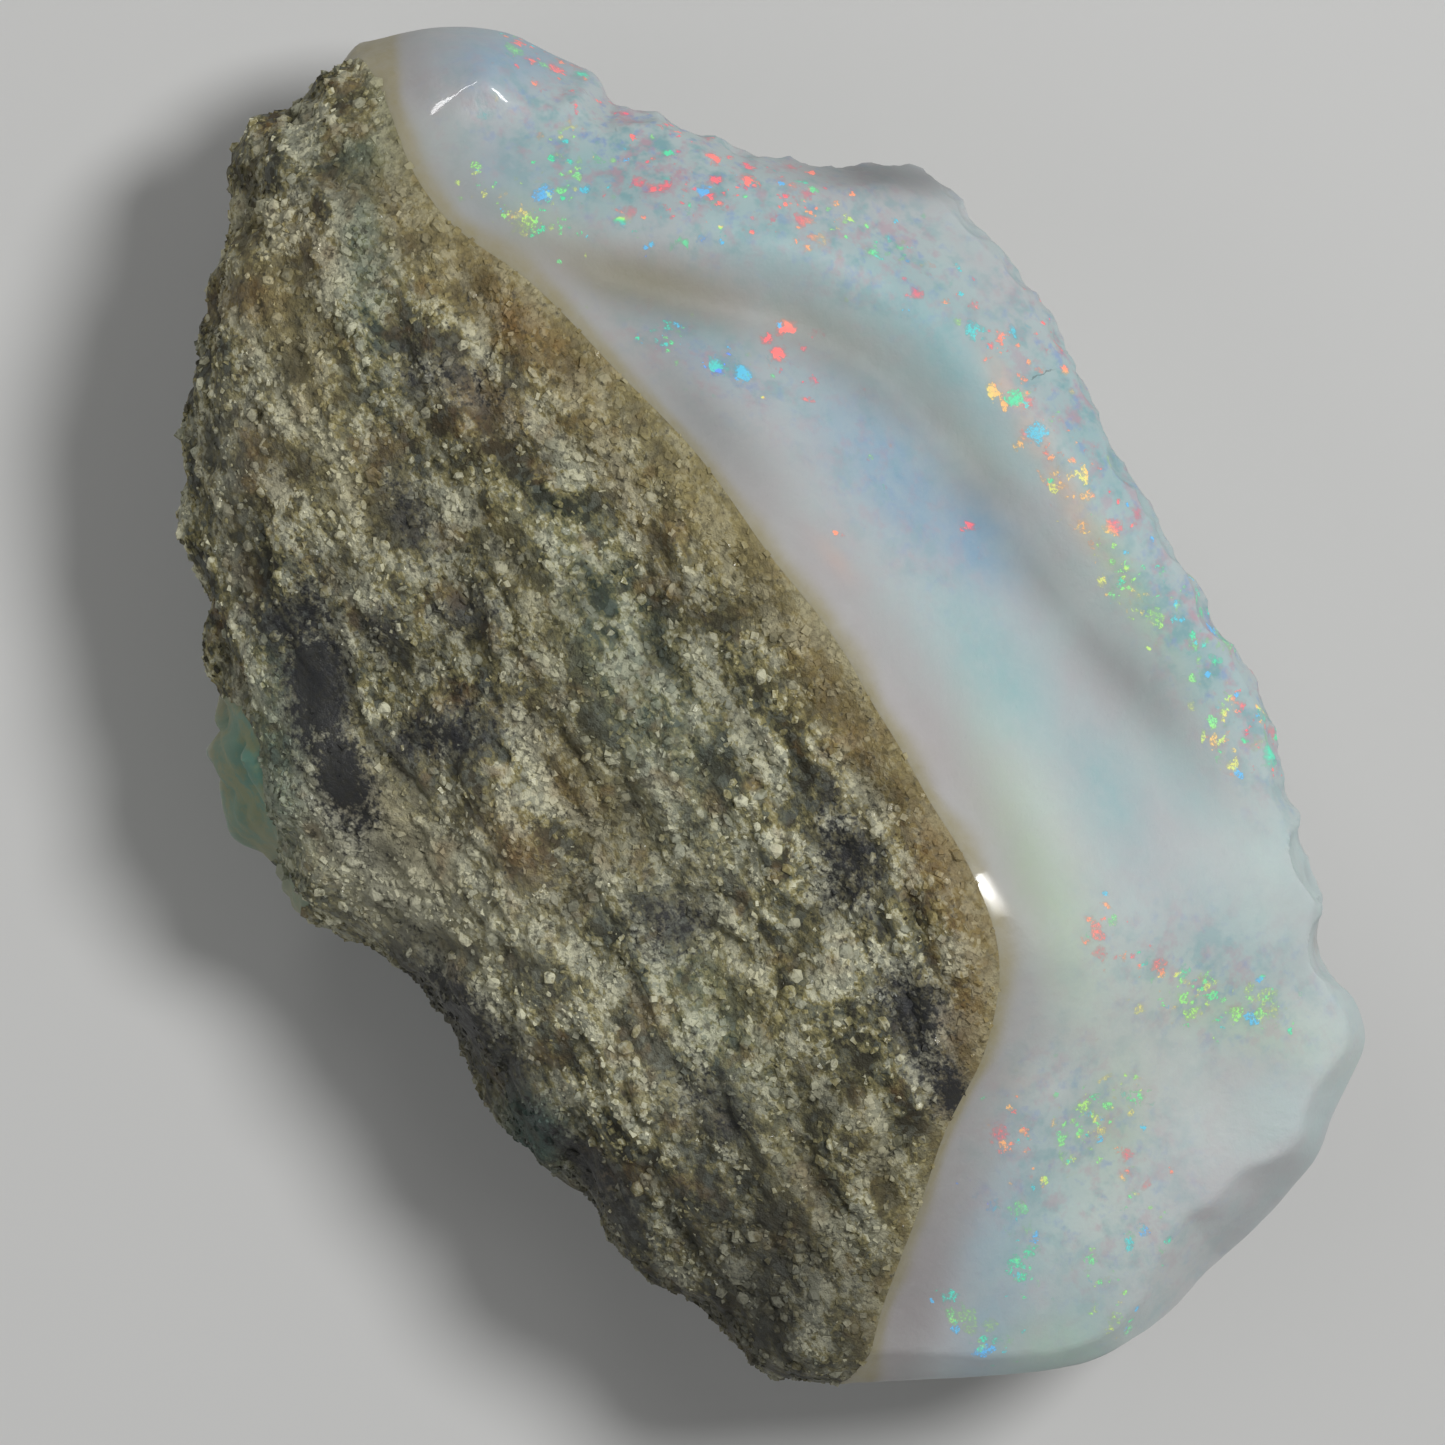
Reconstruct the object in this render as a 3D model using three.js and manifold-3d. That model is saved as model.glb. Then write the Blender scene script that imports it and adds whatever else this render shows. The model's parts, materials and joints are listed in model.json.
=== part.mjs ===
// A rough piece of white opal, still joined to the bed of sandstone that it formed against.
// Millimetres, +Z up, +X along the stone. It lies on a flat break at z = 0, with the ridge
// where sandstone and opal meet on top. The numbers below are read with the long side still
// aslant, sandstone to the left and opal to the right; stoneTurn brings the length onto +X.
import * as THREE from "three";
import { mergeVertices } from "three/addons/utils/BufferGeometryUtils.js";
import Module from "manifold-3d";

const wasm = await Module();
wasm.setup();

// Driving dimensions
const stoneTurn = THREE.MathUtils.degToRad(59);
const ridgeTop = 13.4; // height of the ridge at its highest
const seamGap = 0.34; // left between the two solids, where the real ones are grown together
const ridgeRounding = 0.8;
const rings = 23; // rows of facets from the middle to the outline, on each side
const edgeRows = 2; // of those rows, the ones on the broken edge of the upper face
const leastWall = 1.5; // the outline stands at least this much above the underside's breaks

// How the faces fall away from the ridge, per millimetre and per square millimetre
const sandFall = { slope: 0.13, curve: 0.017 };
const opalFall = { slope: 0.56, endSlope: 0.05, curve: 0.004 };
const opalEase = { from: 5, to: 17 }; // along the ridge, where the opal's slope dies away

// The outline seen from above, anticlockwise from the right-hand point
const outlinePoints = [
  [12.8, -1.3], [12.4, 0.1], [11.8, 1.1], [11.2, 2.1], [10.6, 3.1], [9.85, 4.1],
  [9.4, 5.1], [8.75, 6.1], [8.2, 7.1], [7.85, 8.1], [7.35, 9.1], [6.8, 10.1],
  [6.05, 11.1], [5.1, 12.1], [4.4, 13.1], [3.2, 13.6], [1.9, 13.5], [0.7, 13.6],
  [-0.8, 13.95], [-2.8, 14.9], [-4.0, 15.0], [-4.4, 15.7], [-5.3, 16.2], [-6.8, 16.8],
  [-8.6, 16.85], [-10.7, 16.2], [-12.2, 15.0], [-13.5, 13.8], [-13.5, 12.4], [-14.0, 10.1],
  [-14.6, 8.1], [-14.75, 6.4], [-14.6, 4.6], [-14.2, 2.3], [-13.85, -0.4], [-13.7, -2.2],
  [-13.3, -3.3], [-12.6, -3.95], [-12.15, -4.2], [-12.1, -4.75], [-11.6, -5.25], [-10.7, -5.6],
  [-9.3, -6.6], [-8.1, -8.2], [-6.9, -9.9], [-4.6, -12.55], [-3.3, -14.0], [-1.8, -15.3],
  [0.0, -16.95], [1.2, -17.1], [3.4, -17.0], [6.0, -16.85], [8.0, -16.5], [9.0, -15.95],
  [9.85, -15.4], [10.8, -14.4], [11.9, -13.4], [12.85, -12.4], [13.6, -11.4], [13.95, -10.4],
  [14.4, -9.4], [14.78, -8.4], [14.55, -7.5], [14.15, -6.95], [13.78, -5.9], [13.8, -4.9],
  [13.5, -3.9], [13.2, -2.9], [12.8, -2.0],
];

// The ridge where sandstone and opal meet, from its top end to its bottom end: x, y and height
const ridgePoints = [
  [-11.0, 23.0, 5.8], [-9.7, 17.2, 8.0], [-9.2, 14.1, 9.4], [-8.1, 12.2, 10.4], [-5.8, 10.4, 11.4],
  [-3.8, 8.3, 12.2], [-1.8, 6.2, 12.8], [-0.2, 3.9, 13.2], [1.5, 1.8, ridgeTop], [2.8, -0.4, ridgeTop],
  [4.0, -2.4, 13.3], [5.2, -4.4, 13.3], [5.75, -6.4, 13.15], [5.4, -8.5, 12.5], [4.4, -10.6, 11.6],
  [3.7, -12.7, 10.6], [2.9, -14.9, 9.8], [2.3, -17.5, 8.8], [1.2, -23.0, 6.8],
];
const ridgeHeading = -69; // degrees, its general direction

// The foot of the step in the opal face: x, y and how much of the full step stands there
const stepPoints = [
  [-16.0, 12.4, 0.0], [-10.4, 11.4, 0.25], [-6.8, 11.0, 0.7], [-4.8, 10.4, 0.95], [-2.1, 9.6, 1.0],
  [0.7, 8.8, 1.0], [2.7, 7.6, 0.9], [4.4, 5.7, 0.78], [6.2, 3.5, 0.65], [8.2, 1.3, 0.5],
  [10.0, -0.7, 0.35], [11.7, -2.6, 0.18], [13.6, -4.8, 0.0], [19.0, -10.5, 0.0],
];
const stepHeading = -35; // degrees, its general direction
const step = { rise: 1.8, flank: 2.9, groove: 0.15, grooveWidth: 1.2 };

// How the stone breaks off at its outline, by direction from the middle in degrees: the drop from
// the face to the outline, the width of that bevel, how round it is, and the slope of the wall below
const edgeStations = [
  [0, 0.5, 0.35, 0.0, 3.0], [17, 0.4, 0.3, 0.0, 2.4], [39, 0.4, 0.3, 0.0, 3.2], [66, 0.5, 0.4, 0.0, 2.0],
  [76, 1.1, 0.8, 0.0, 1.6], [90, 0.9, 0.7, 0.0, 2.2], [103, 0.6, 0.4, 0.2, 2.6], [107, 1.9, 1.3, 0.4, 1.9],
  [117, 2.4, 2.4, 0.9, 1.5], [128, 2.6, 2.4, 1.0, 1.8], [150, 2.8, 2.6, 1.0, 1.3], [175, 2.6, 2.2, 1.0, 2.0],
  [188, 2.9, 1.7, 0.8, 1.5], [198, 3.1, 1.4, 0.5, 1.7], [206, 3.0, 1.6, 0.8, 1.4], [220, 3.0, 2.4, 1.0, 1.9],
  [250, 3.0, 2.4, 1.0, 1.4], [264, 2.4, 1.8, 0.7, 1.7], [273, 1.2, 0.7, 0.4, 2.1], [293, 0.9, 0.5, 0.4, 2.4],
  [299, 0.9, 0.5, 0.0, 2.0], [303, 1.5, 1.0, 0.0, 1.6], [309, 2.0, 1.3, 0.0, 1.4], [315, 1.8, 1.1, 0.0, 1.4],
  [322, 1.2, 0.7, 0.0, 1.7], [331, 0.8, 0.5, 0.0, 2.1], [341, 0.6, 0.4, 0.0, 2.6],
];

// Breaks of the underside: direction in degrees, distance from the middle where it starts, and slope
const underBreaks = [
  [112, 7.6, 0.34], [38, 5.4, 0.42], [345, 7.0, 0.3], [292, 7.8, 0.38], [232, 5.2, 0.5], [168, 6.2, 0.3],
];

// Shell-shaped scoops in the walls: centre and radius of the ball that fits each
const scoops = [
  [20.4, 8.6, 3.4, 10.0], [12.6, 19.4, 1.6, 9.6], [22.6, -3.4, 2.2, 9.6], [21.2, -15.4, 0.4, 9.4],
  [9.6, -25.6, 1.6, 9.8], [-1.0, 23.6, 1.4, 9.8], [-20.6, -8.4, -2.4, 9.0], [-11.6, -18.2, -2.6, 9.6],
  [-23.2, 5.4, -3.6, 9.8], [-15.4, 21.6, -2.2, 8.4],
];
const scoopFacets = { around: 30, rows: 18 };

// Swellings and hollows of the sandstone face: x, y, radius along and across the bedding, height
const sandLumps = [
  [-3.7, 3.3, 2.8, 0.8, -0.6], [-5.4, 1.6, 3.4, 1.2, 0.45], [-2.0, -0.6, 2.6, 1.0, 0.3],
  [-10.6, 8.6, 3.0, 1.6, 0.35], [-8.4, 4.8, 2.4, 1.1, -0.3], [-11.6, 1.2, 2.2, 1.1, -0.45],
  [-9.4, -0.8, 1.8, 1.0, -0.35], [-6.6, -4.4, 3.0, 1.4, 0.45], [-1.6, -5.4, 2.6, 1.1, -0.4],
  [1.6, -4.6, 2.4, 1.0, -0.35], [-3.2, -8.6, 2.8, 1.4, 0.35], [1.2, -9.4, 3.0, 1.2, 0.3],
  [-0.6, -12.6, 2.4, 1.0, -0.3], [-10.8, 12.4, 2.2, 1.2, 0.3], [-5.4, 7.4, 2.4, 1.0, 0.25],
];
const bedding = THREE.MathUtils.degToRad(-64); // the way the sandstone's streaks run

// Swellings and hollows of the opal face in the same way, by their own direction in degrees
const opalLumps = [
  [-7.0, 16.0, 2.3, 1.0, 0.8, -6], [-6.0, 13.6, 3.0, 0.9, -0.3, -20], [0.6, 11.6, 3.4, 1.3, 0.25, -32],
  [3.6, 12.4, 1.6, 1.2, -0.35, -20], [7.6, 6.4, 3.0, 0.9, 0.25, -58], [8.4, -6.6, 3.4, 2.2, 0.35, -40],
  [10.6, -9.6, 2.4, 1.6, -0.25, -60], [6.2, -11.6, 4.0, 0.8, 0.35, -118], [5.0, -0.6, 3.6, 1.0, -0.2, -58],
  [6.6, -4.6, 1.6, 0.9, -0.16, -66],
];

// Nodules of opal that come out at the sandstone's left edge: centre, and radius in x, y and z
const nodules = [
  [-13.0, -1.6, 4.6, 1.4, 2.5, 3.2], [-11.3, -4.6, 3.6, 1.2, 1.0, 3.2],
];

// The seam between the two, square to the ridge: distance from the ridge and height above it
const seamProfile = [
  [6.0, 15.0], [2.0, 5.0], [0.0, 0.0], [-1.4, -2.2], [-3.6, -4.2], [-7.0, -6.4],
  [-12.0, -9.2], [-18.0, -11.6], [-27.0, -14.0],
];
const seamLoft = { steps: 44, top: 30 };

const colours = { sandstone: 0x8f8a72, opal: 0xcfdadd };

// Numbers that repeat for each corner of a cubic grid, and a smooth noise from -1 to 1 between them
function cornerNumber(i, j, k) {
  let h = Math.imul(i, 374761393) + Math.imul(j, 668265263) + Math.imul(k, 1440662683);
  h = Math.imul(h ^ (h >>> 13), 1274126177);
  return ((h ^ (h >>> 16)) >>> 0) / 4294967296;
}

function noise(x, y, z) {
  const [i, j, k] = [x, y, z].map(Math.floor);
  const [u, v, w] = [x - i, y - j, z - k].map((t) => t * t * (3 - 2 * t));
  let sum = 0;
  for (const [a, wa] of [[0, 1 - u], [1, u]])
    for (const [b, wb] of [[0, 1 - v], [1, v]])
      for (const [c, wc] of [[0, 1 - w], [1, w]]) sum += wa * wb * wc * cornerNumber(i + a, j + b, k + c);
  return 2 * sum - 1;
}

const smoothStep = (t) => THREE.MathUtils.smoothstep(t, 0, 1);

function softMin(a, b, k) {
  const h = Math.max(k - Math.abs(a - b), 0) / k;
  return Math.min(a, b) - (h * h * k) / 4;
}

function smoothLine(points, closed) {
  const corners = points.map((p) => new THREE.Vector3(p[0], p[1], p[2] ?? 0));
  return new THREE.CatmullRomCurve3(corners, closed, "centripetal");
}

// A line that never turns back: how far a place lies to its left, its third number, and how far along
function guideLine(points, heading) {
  const [ax, ay] = [Math.cos(THREE.MathUtils.degToRad(heading)), Math.sin(THREE.MathUtils.degToRad(heading))];
  const samples = smoothLine(points, false).getSpacedPoints(160);
  const along = samples.map((p) => p.x * ax + p.y * ay);
  const left = samples.map((p) => ax * p.y - ay * p.x);
  return (x, y) => {
    const v = THREE.MathUtils.clamp(x * ax + y * ay, along[0], along.at(-1) - 1e-6);
    const n = along.findIndex((a) => a > v);
    const t = (v - along[n - 1]) / (along[n] - along[n - 1]);
    const out = ax * y - ay * x - THREE.MathUtils.lerp(left[n - 1], left[n], t);
    return [out, THREE.MathUtils.lerp(samples[n - 1].z, samples[n].z, t), v];
  };
}

const besideRidge = guideLine(ridgePoints, ridgeHeading);
const besideStep = guideLine(stepPoints, stepHeading);
const outlineCurve = smoothLine(outlinePoints, true);
const outline = outlineCurve.getSpacedPoints(6 * rings * 2);

// The outline's nearest place, and how far it is
function nearestRim(x, y) {
  let best = { distance: Infinity };
  for (let n = 1; n < outline.length; n++) {
    const [a, b] = [outline[n - 1], outline[n]];
    const [ex, ey] = [b.x - a.x, b.y - a.y];
    const t = THREE.MathUtils.clamp(((x - a.x) * ex + (y - a.y) * ey) / (ex * ex + ey * ey), 0, 1);
    const [px, py] = [a.x + t * ex, a.y + t * ey];
    const distance = Math.hypot(x - px, y - py);
    if (distance < best.distance) best = { distance, x: px, y: py };
  }
  return best;
}

function edgeAt({ x, y }) {
  const angle = (THREE.MathUtils.radToDeg(Math.atan2(y, x)) + 360) % 360;
  const next = edgeStations.findIndex((s) => s[0] > angle);
  const after = edgeStations[next < 0 ? 0 : next];
  const before = edgeStations[next < 0 ? edgeStations.length - 1 : next - 1];
  const t = (angle - before[0]) / ((next < 0 ? 360 : after[0]) - before[0]);
  const [drop, width, round, wall] = [1, 2, 3, 4].map((n) => THREE.MathUtils.lerp(before[n], after[n], t));
  return { drop, width, round, wall };
}

function lump(x, y, [lx, ly, along, across, height], angle) {
  const [dx, dy] = [x - lx, y - ly];
  const u = (dx * Math.cos(angle) + dy * Math.sin(angle)) / along;
  const v = (dy * Math.cos(angle) - dx * Math.sin(angle)) / across;
  return height * Math.exp(-(u * u + v * v));
}

// The upper face before its edges are broken
function faceHeight(x, y) {
  const [out, ridge, along] = besideRidge(x, y); // out is above 0 on the opal's side of the ridge
  const [inward, away] = [Math.max(-out, 0), Math.max(out, 0)];
  let sand = ridge + sandFall.slope * out - sandFall.curve * inward ** 2;
  for (const one of sandLumps) sand += lump(x, y, one, bedding) * smoothStep(inward / 2);
  const [beyond, share] = besideStep(x, y);
  const stepRise = smoothStep(beyond / step.flank) * step.rise;
  const groove = step.groove * Math.exp(-((beyond / step.grooveWidth) ** 2));
  const ease = smoothStep((along - opalEase.from) / (opalEase.to - opalEase.from));
  const slope = THREE.MathUtils.lerp(opalFall.slope, opalFall.endSlope, ease * smoothStep(away / 2));
  let opal = ridge - slope * out - opalFall.curve * away ** 2;
  opal += (stepRise - groove) * share * smoothStep(away / 1.5);
  for (const one of opalLumps) opal += lump(x, y, one, THREE.MathUtils.degToRad(one[5])) * smoothStep(away);
  return softMin(sand, opal, ridgeRounding);
}

// A place on the stone over or under the given place on the plan
function surfacePoint(x, y, below) {
  const rim = nearestRim(x, y);
  const edge = edgeAt(rim);
  if (!below) {
    const u = Math.min(rim.distance / edge.width, 1);
    const lifted = THREE.MathUtils.lerp(u, Math.sqrt(1 - (1 - u) ** 2), edge.round);
    return [x, y, faceHeight(x, y) - edge.drop * (1 - lifted)];
  }
  let under = 0;
  for (const [degrees, from, slope] of underBreaks) {
    const way = THREE.MathUtils.degToRad(degrees);
    under = Math.max(under, slope * (x * Math.cos(way) + y * Math.sin(way) - from));
  }
  const rimHeight = faceHeight(rim.x, rim.y) - edge.drop;
  return [x, y, Math.max(Math.min(under, rimHeight - leastWall), rimHeight - edge.wall * rim.distance)];
}

// Shares of the way from the middle out to the outline that are even along the surface
function evenShares(rim, below) {
  const steps = 48;
  const shareOf = (n) => Math.sin(((n / steps) * Math.PI) / 2);
  const walked = [0];
  let last = surfacePoint(0, 0, below);
  for (let n = 1; n <= steps; n++) {
    const here = surfacePoint(rim.x * shareOf(n), rim.y * shareOf(n), below);
    walked.push(walked[n - 1] + Math.hypot(here[0] - last[0], here[1] - last[1], here[2] - last[2]));
    last = here;
  }
  return (part) => {
    const n = Math.max(walked.findIndex((w) => w >= walked[steps] * Math.min(part, 1) - 1e-9), 1);
    const t = (walked[steps] * part - walked[n - 1]) / (walked[n] - walked[n - 1]);
    return shareOf(n - 1 + THREE.MathUtils.clamp(t, 0, 1));
  };
}

// The break's own roughness, in and out from the middle of the stone
function roughen([x, y, z]) {
  const [out] = besideRidge(x, y);
  const sandy = smoothStep(-out / 1.5) * smoothStep((z - 2.5) / 2);
  const coarse = 0.3 * noise(x / 2.6, y / 2.6, z / 2.6) + 0.16 * noise(x / 1.2, y / 1.2, z / 1.2);
  const fine = 0.14 * noise(x / 4.5 + 7, y / 4.5, z / 4.5);
  const middleHeight = 5;
  const k = 1 + THREE.MathUtils.lerp(fine, coarse, sandy) / Math.hypot(x, y, z - middleHeight);
  return [x * k, y * k, (z - middleHeight) * k + middleHeight];
}

// Two round sheets of even facets, upper and under, that share the outline
function stoneGeometry() {
  const places = [];
  const faces = [];
  for (const below of [false, true]) {
    const first = places.length / 3;
    const at = (r, k) => first + (r === 0 ? 0 : 1 + 3 * r * (r - 1) + (k % (6 * r)));
    for (let r = 0; r <= rings; r++)
      for (let k = 0; k < Math.max(6 * r, 1); k++) {
        const rim = outlineCurve.getPointAt(k / Math.max(6 * r, 1));
        const bevelShare = 1 - edgeAt(rim).width / Math.hypot(rim.x, rim.y);
        const face = (r / (rings - edgeRows)) * bevelShare;
        const bevel = THREE.MathUtils.lerp(bevelShare, 1, (r - rings + edgeRows) / edgeRows);
        const share = below ? evenShares(rim, below)(r / rings) : r > rings - edgeRows ? bevel : face;
        const smooth = surfacePoint(rim.x * share, rim.y * share, below);
        const flat = below && smooth[2] < 0.02;
        const [x, y, z] = flat ? smooth : roughen(smooth);
        places.push(x, y, Math.max(z, 0));
      }
    for (let r = 1; r <= rings; r++)
      for (let sector = 0; sector < 6; sector++)
        for (let k = 0; k < r; k++) {
          const [a, b] = [at(r, sector * r + k), at(r, sector * r + k + 1)];
          const [c, d] = [at(r - 1, sector * (r - 1) + k), at(r - 1, sector * (r - 1) + k + 1)];
          faces.push(...(below ? [b, a, c] : [a, b, c]));
          if (k < r - 1) faces.push(...(below ? [c, d, b] : [b, d, c]));
        }
  }
  const geometry = new THREE.BufferGeometry();
  geometry.setAttribute("position", new THREE.Float32BufferAttribute(places, 3));
  geometry.setIndex(faces);
  return mergeVertices(geometry, 1e-4);
}

// Everything above the seam, lowered square to it by a gap: the seam's profile carried along the ridge
function aboveSeam(gap) {
  const lean = THREE.MathUtils.degToRad(ridgeHeading + 90);
  const profile = seamProfile.map(([out, up], n) => {
    const [a, b] = [seamProfile[Math.max(n - 1, 0)], seamProfile[Math.min(n + 1, seamProfile.length - 1)]];
    const length = Math.hypot(a[0] - b[0], a[1] - b[1]);
    return [out + (gap * (a[1] - b[1])) / length, up - (gap * (a[0] - b[0])) / length];
  });
  profile.push([seamProfile.at(-1)[0], seamLoft.top], [seamProfile[0][0], seamLoft.top]);
  const ridge = smoothLine(ridgePoints, false).getSpacedPoints(seamLoft.steps);
  const places = [];
  for (const p of ridge)
    for (const [out, up] of profile) places.push(p.x + out * Math.cos(lean), p.y + out * Math.sin(lean), p.z + up);
  const faces = [];
  const side = profile.length;
  for (let n = 0; n < seamLoft.steps; n++)
    for (let m = 0; m < side; m++) {
      const [a, b] = [n * side + m, n * side + ((m + 1) % side)];
      faces.push(a, a + side, b, b, a + side, b + side);
    }
  const capCorners = profile.map(([out, up]) => new THREE.Vector2(out, up));
  const last = seamLoft.steps * side;
  for (const [a, b, c] of THREE.ShapeUtils.triangulateShape(capCorners, []))
    faces.push(a, c, b, last + a, last + b, last + c);
  const geometry = new THREE.BufferGeometry();
  geometry.setAttribute("position", new THREE.Float32BufferAttribute(places, 3));
  geometry.setIndex(faces);
  return geometry;
}

function ball([x, y, z], radii, { around, rows }) {
  const geometry = new THREE.SphereGeometry(1, around, rows).scale(...radii).translate(x, y, z);
  geometry.deleteAttribute("normal");
  geometry.deleteAttribute("uv");
  return mergeVertices(geometry, 1e-4);
}

function toSolid(geometry) {
  return new wasm.Manifold(new wasm.Mesh({
    numProp: 3,
    vertProperties: new Float32Array(geometry.attributes.position.array),
    triVerts: new Uint32Array(geometry.index.array),
  }));
}

function toMesh(solid, name, colour, roughness) {
  const made = solid.getMesh();
  const geometry = new THREE.BufferGeometry();
  geometry.setAttribute("position", new THREE.BufferAttribute(made.vertProperties, 3));
  geometry.setIndex(new THREE.BufferAttribute(made.triVerts, 1));
  geometry.computeVertexNormals();
  const mesh = new THREE.Mesh(geometry, new THREE.MeshStandardMaterial({ color: colour, roughness, metalness: 0 }));
  mesh.name = name;
  return mesh;
}

const largest = (solid) => solid.decompose().sort((a, b) => b.volume() - a.volume())[0];

let stone = toSolid(stoneGeometry());
for (const [x, y, z, radius] of scoops)
  stone = stone.subtract(toSolid(ball([x, y, z], [radius, radius, radius], scoopFacets)));

let sandstone = stone.intersect(toSolid(aboveSeam(0)));
let opal = stone.subtract(toSolid(aboveSeam(seamGap)));
for (const [x, y, z, ...radii] of nodules) {
  const grown = radii.map((r) => r + seamGap);
  sandstone = sandstone.subtract(toSolid(ball([x, y, z], grown, { around: 18, rows: 12 })));
  opal = opal.add(stone.intersect(toSolid(ball([x, y, z], radii, { around: 18, rows: 12 }))));
}

// Turned so that the length lies along +X, and centred over the origin
const group = new THREE.Group();
group.add(toMesh(largest(sandstone), "sandstone", colours.sandstone, 0.9));
group.add(toMesh(largest(opal), "opal", colours.opal, 0.25));
group.rotation.z = stoneTurn;
group.updateMatrixWorld(true);
const middle = new THREE.Box3().setFromObject(group, true).getCenter(new THREE.Vector3());
group.position.set(-middle.x, -middle.y, 0);

export default group;
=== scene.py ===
import json
import math
import bmesh
import bpy
import numpy as np
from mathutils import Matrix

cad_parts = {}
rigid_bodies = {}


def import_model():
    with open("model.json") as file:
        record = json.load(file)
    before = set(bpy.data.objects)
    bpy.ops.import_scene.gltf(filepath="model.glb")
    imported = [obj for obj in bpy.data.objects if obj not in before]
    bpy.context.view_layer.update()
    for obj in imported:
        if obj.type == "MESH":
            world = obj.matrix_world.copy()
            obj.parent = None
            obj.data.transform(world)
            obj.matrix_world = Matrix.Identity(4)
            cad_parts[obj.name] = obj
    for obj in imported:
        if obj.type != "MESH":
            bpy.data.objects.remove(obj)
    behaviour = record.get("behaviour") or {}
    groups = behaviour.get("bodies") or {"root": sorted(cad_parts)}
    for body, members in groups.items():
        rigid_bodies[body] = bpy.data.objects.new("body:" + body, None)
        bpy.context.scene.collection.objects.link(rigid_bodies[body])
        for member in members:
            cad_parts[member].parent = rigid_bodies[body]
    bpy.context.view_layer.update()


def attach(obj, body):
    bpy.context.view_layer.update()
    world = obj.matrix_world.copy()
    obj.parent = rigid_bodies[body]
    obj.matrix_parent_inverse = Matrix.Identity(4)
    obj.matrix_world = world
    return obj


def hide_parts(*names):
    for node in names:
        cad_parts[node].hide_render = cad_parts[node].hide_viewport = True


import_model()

mm = 0.001

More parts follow.
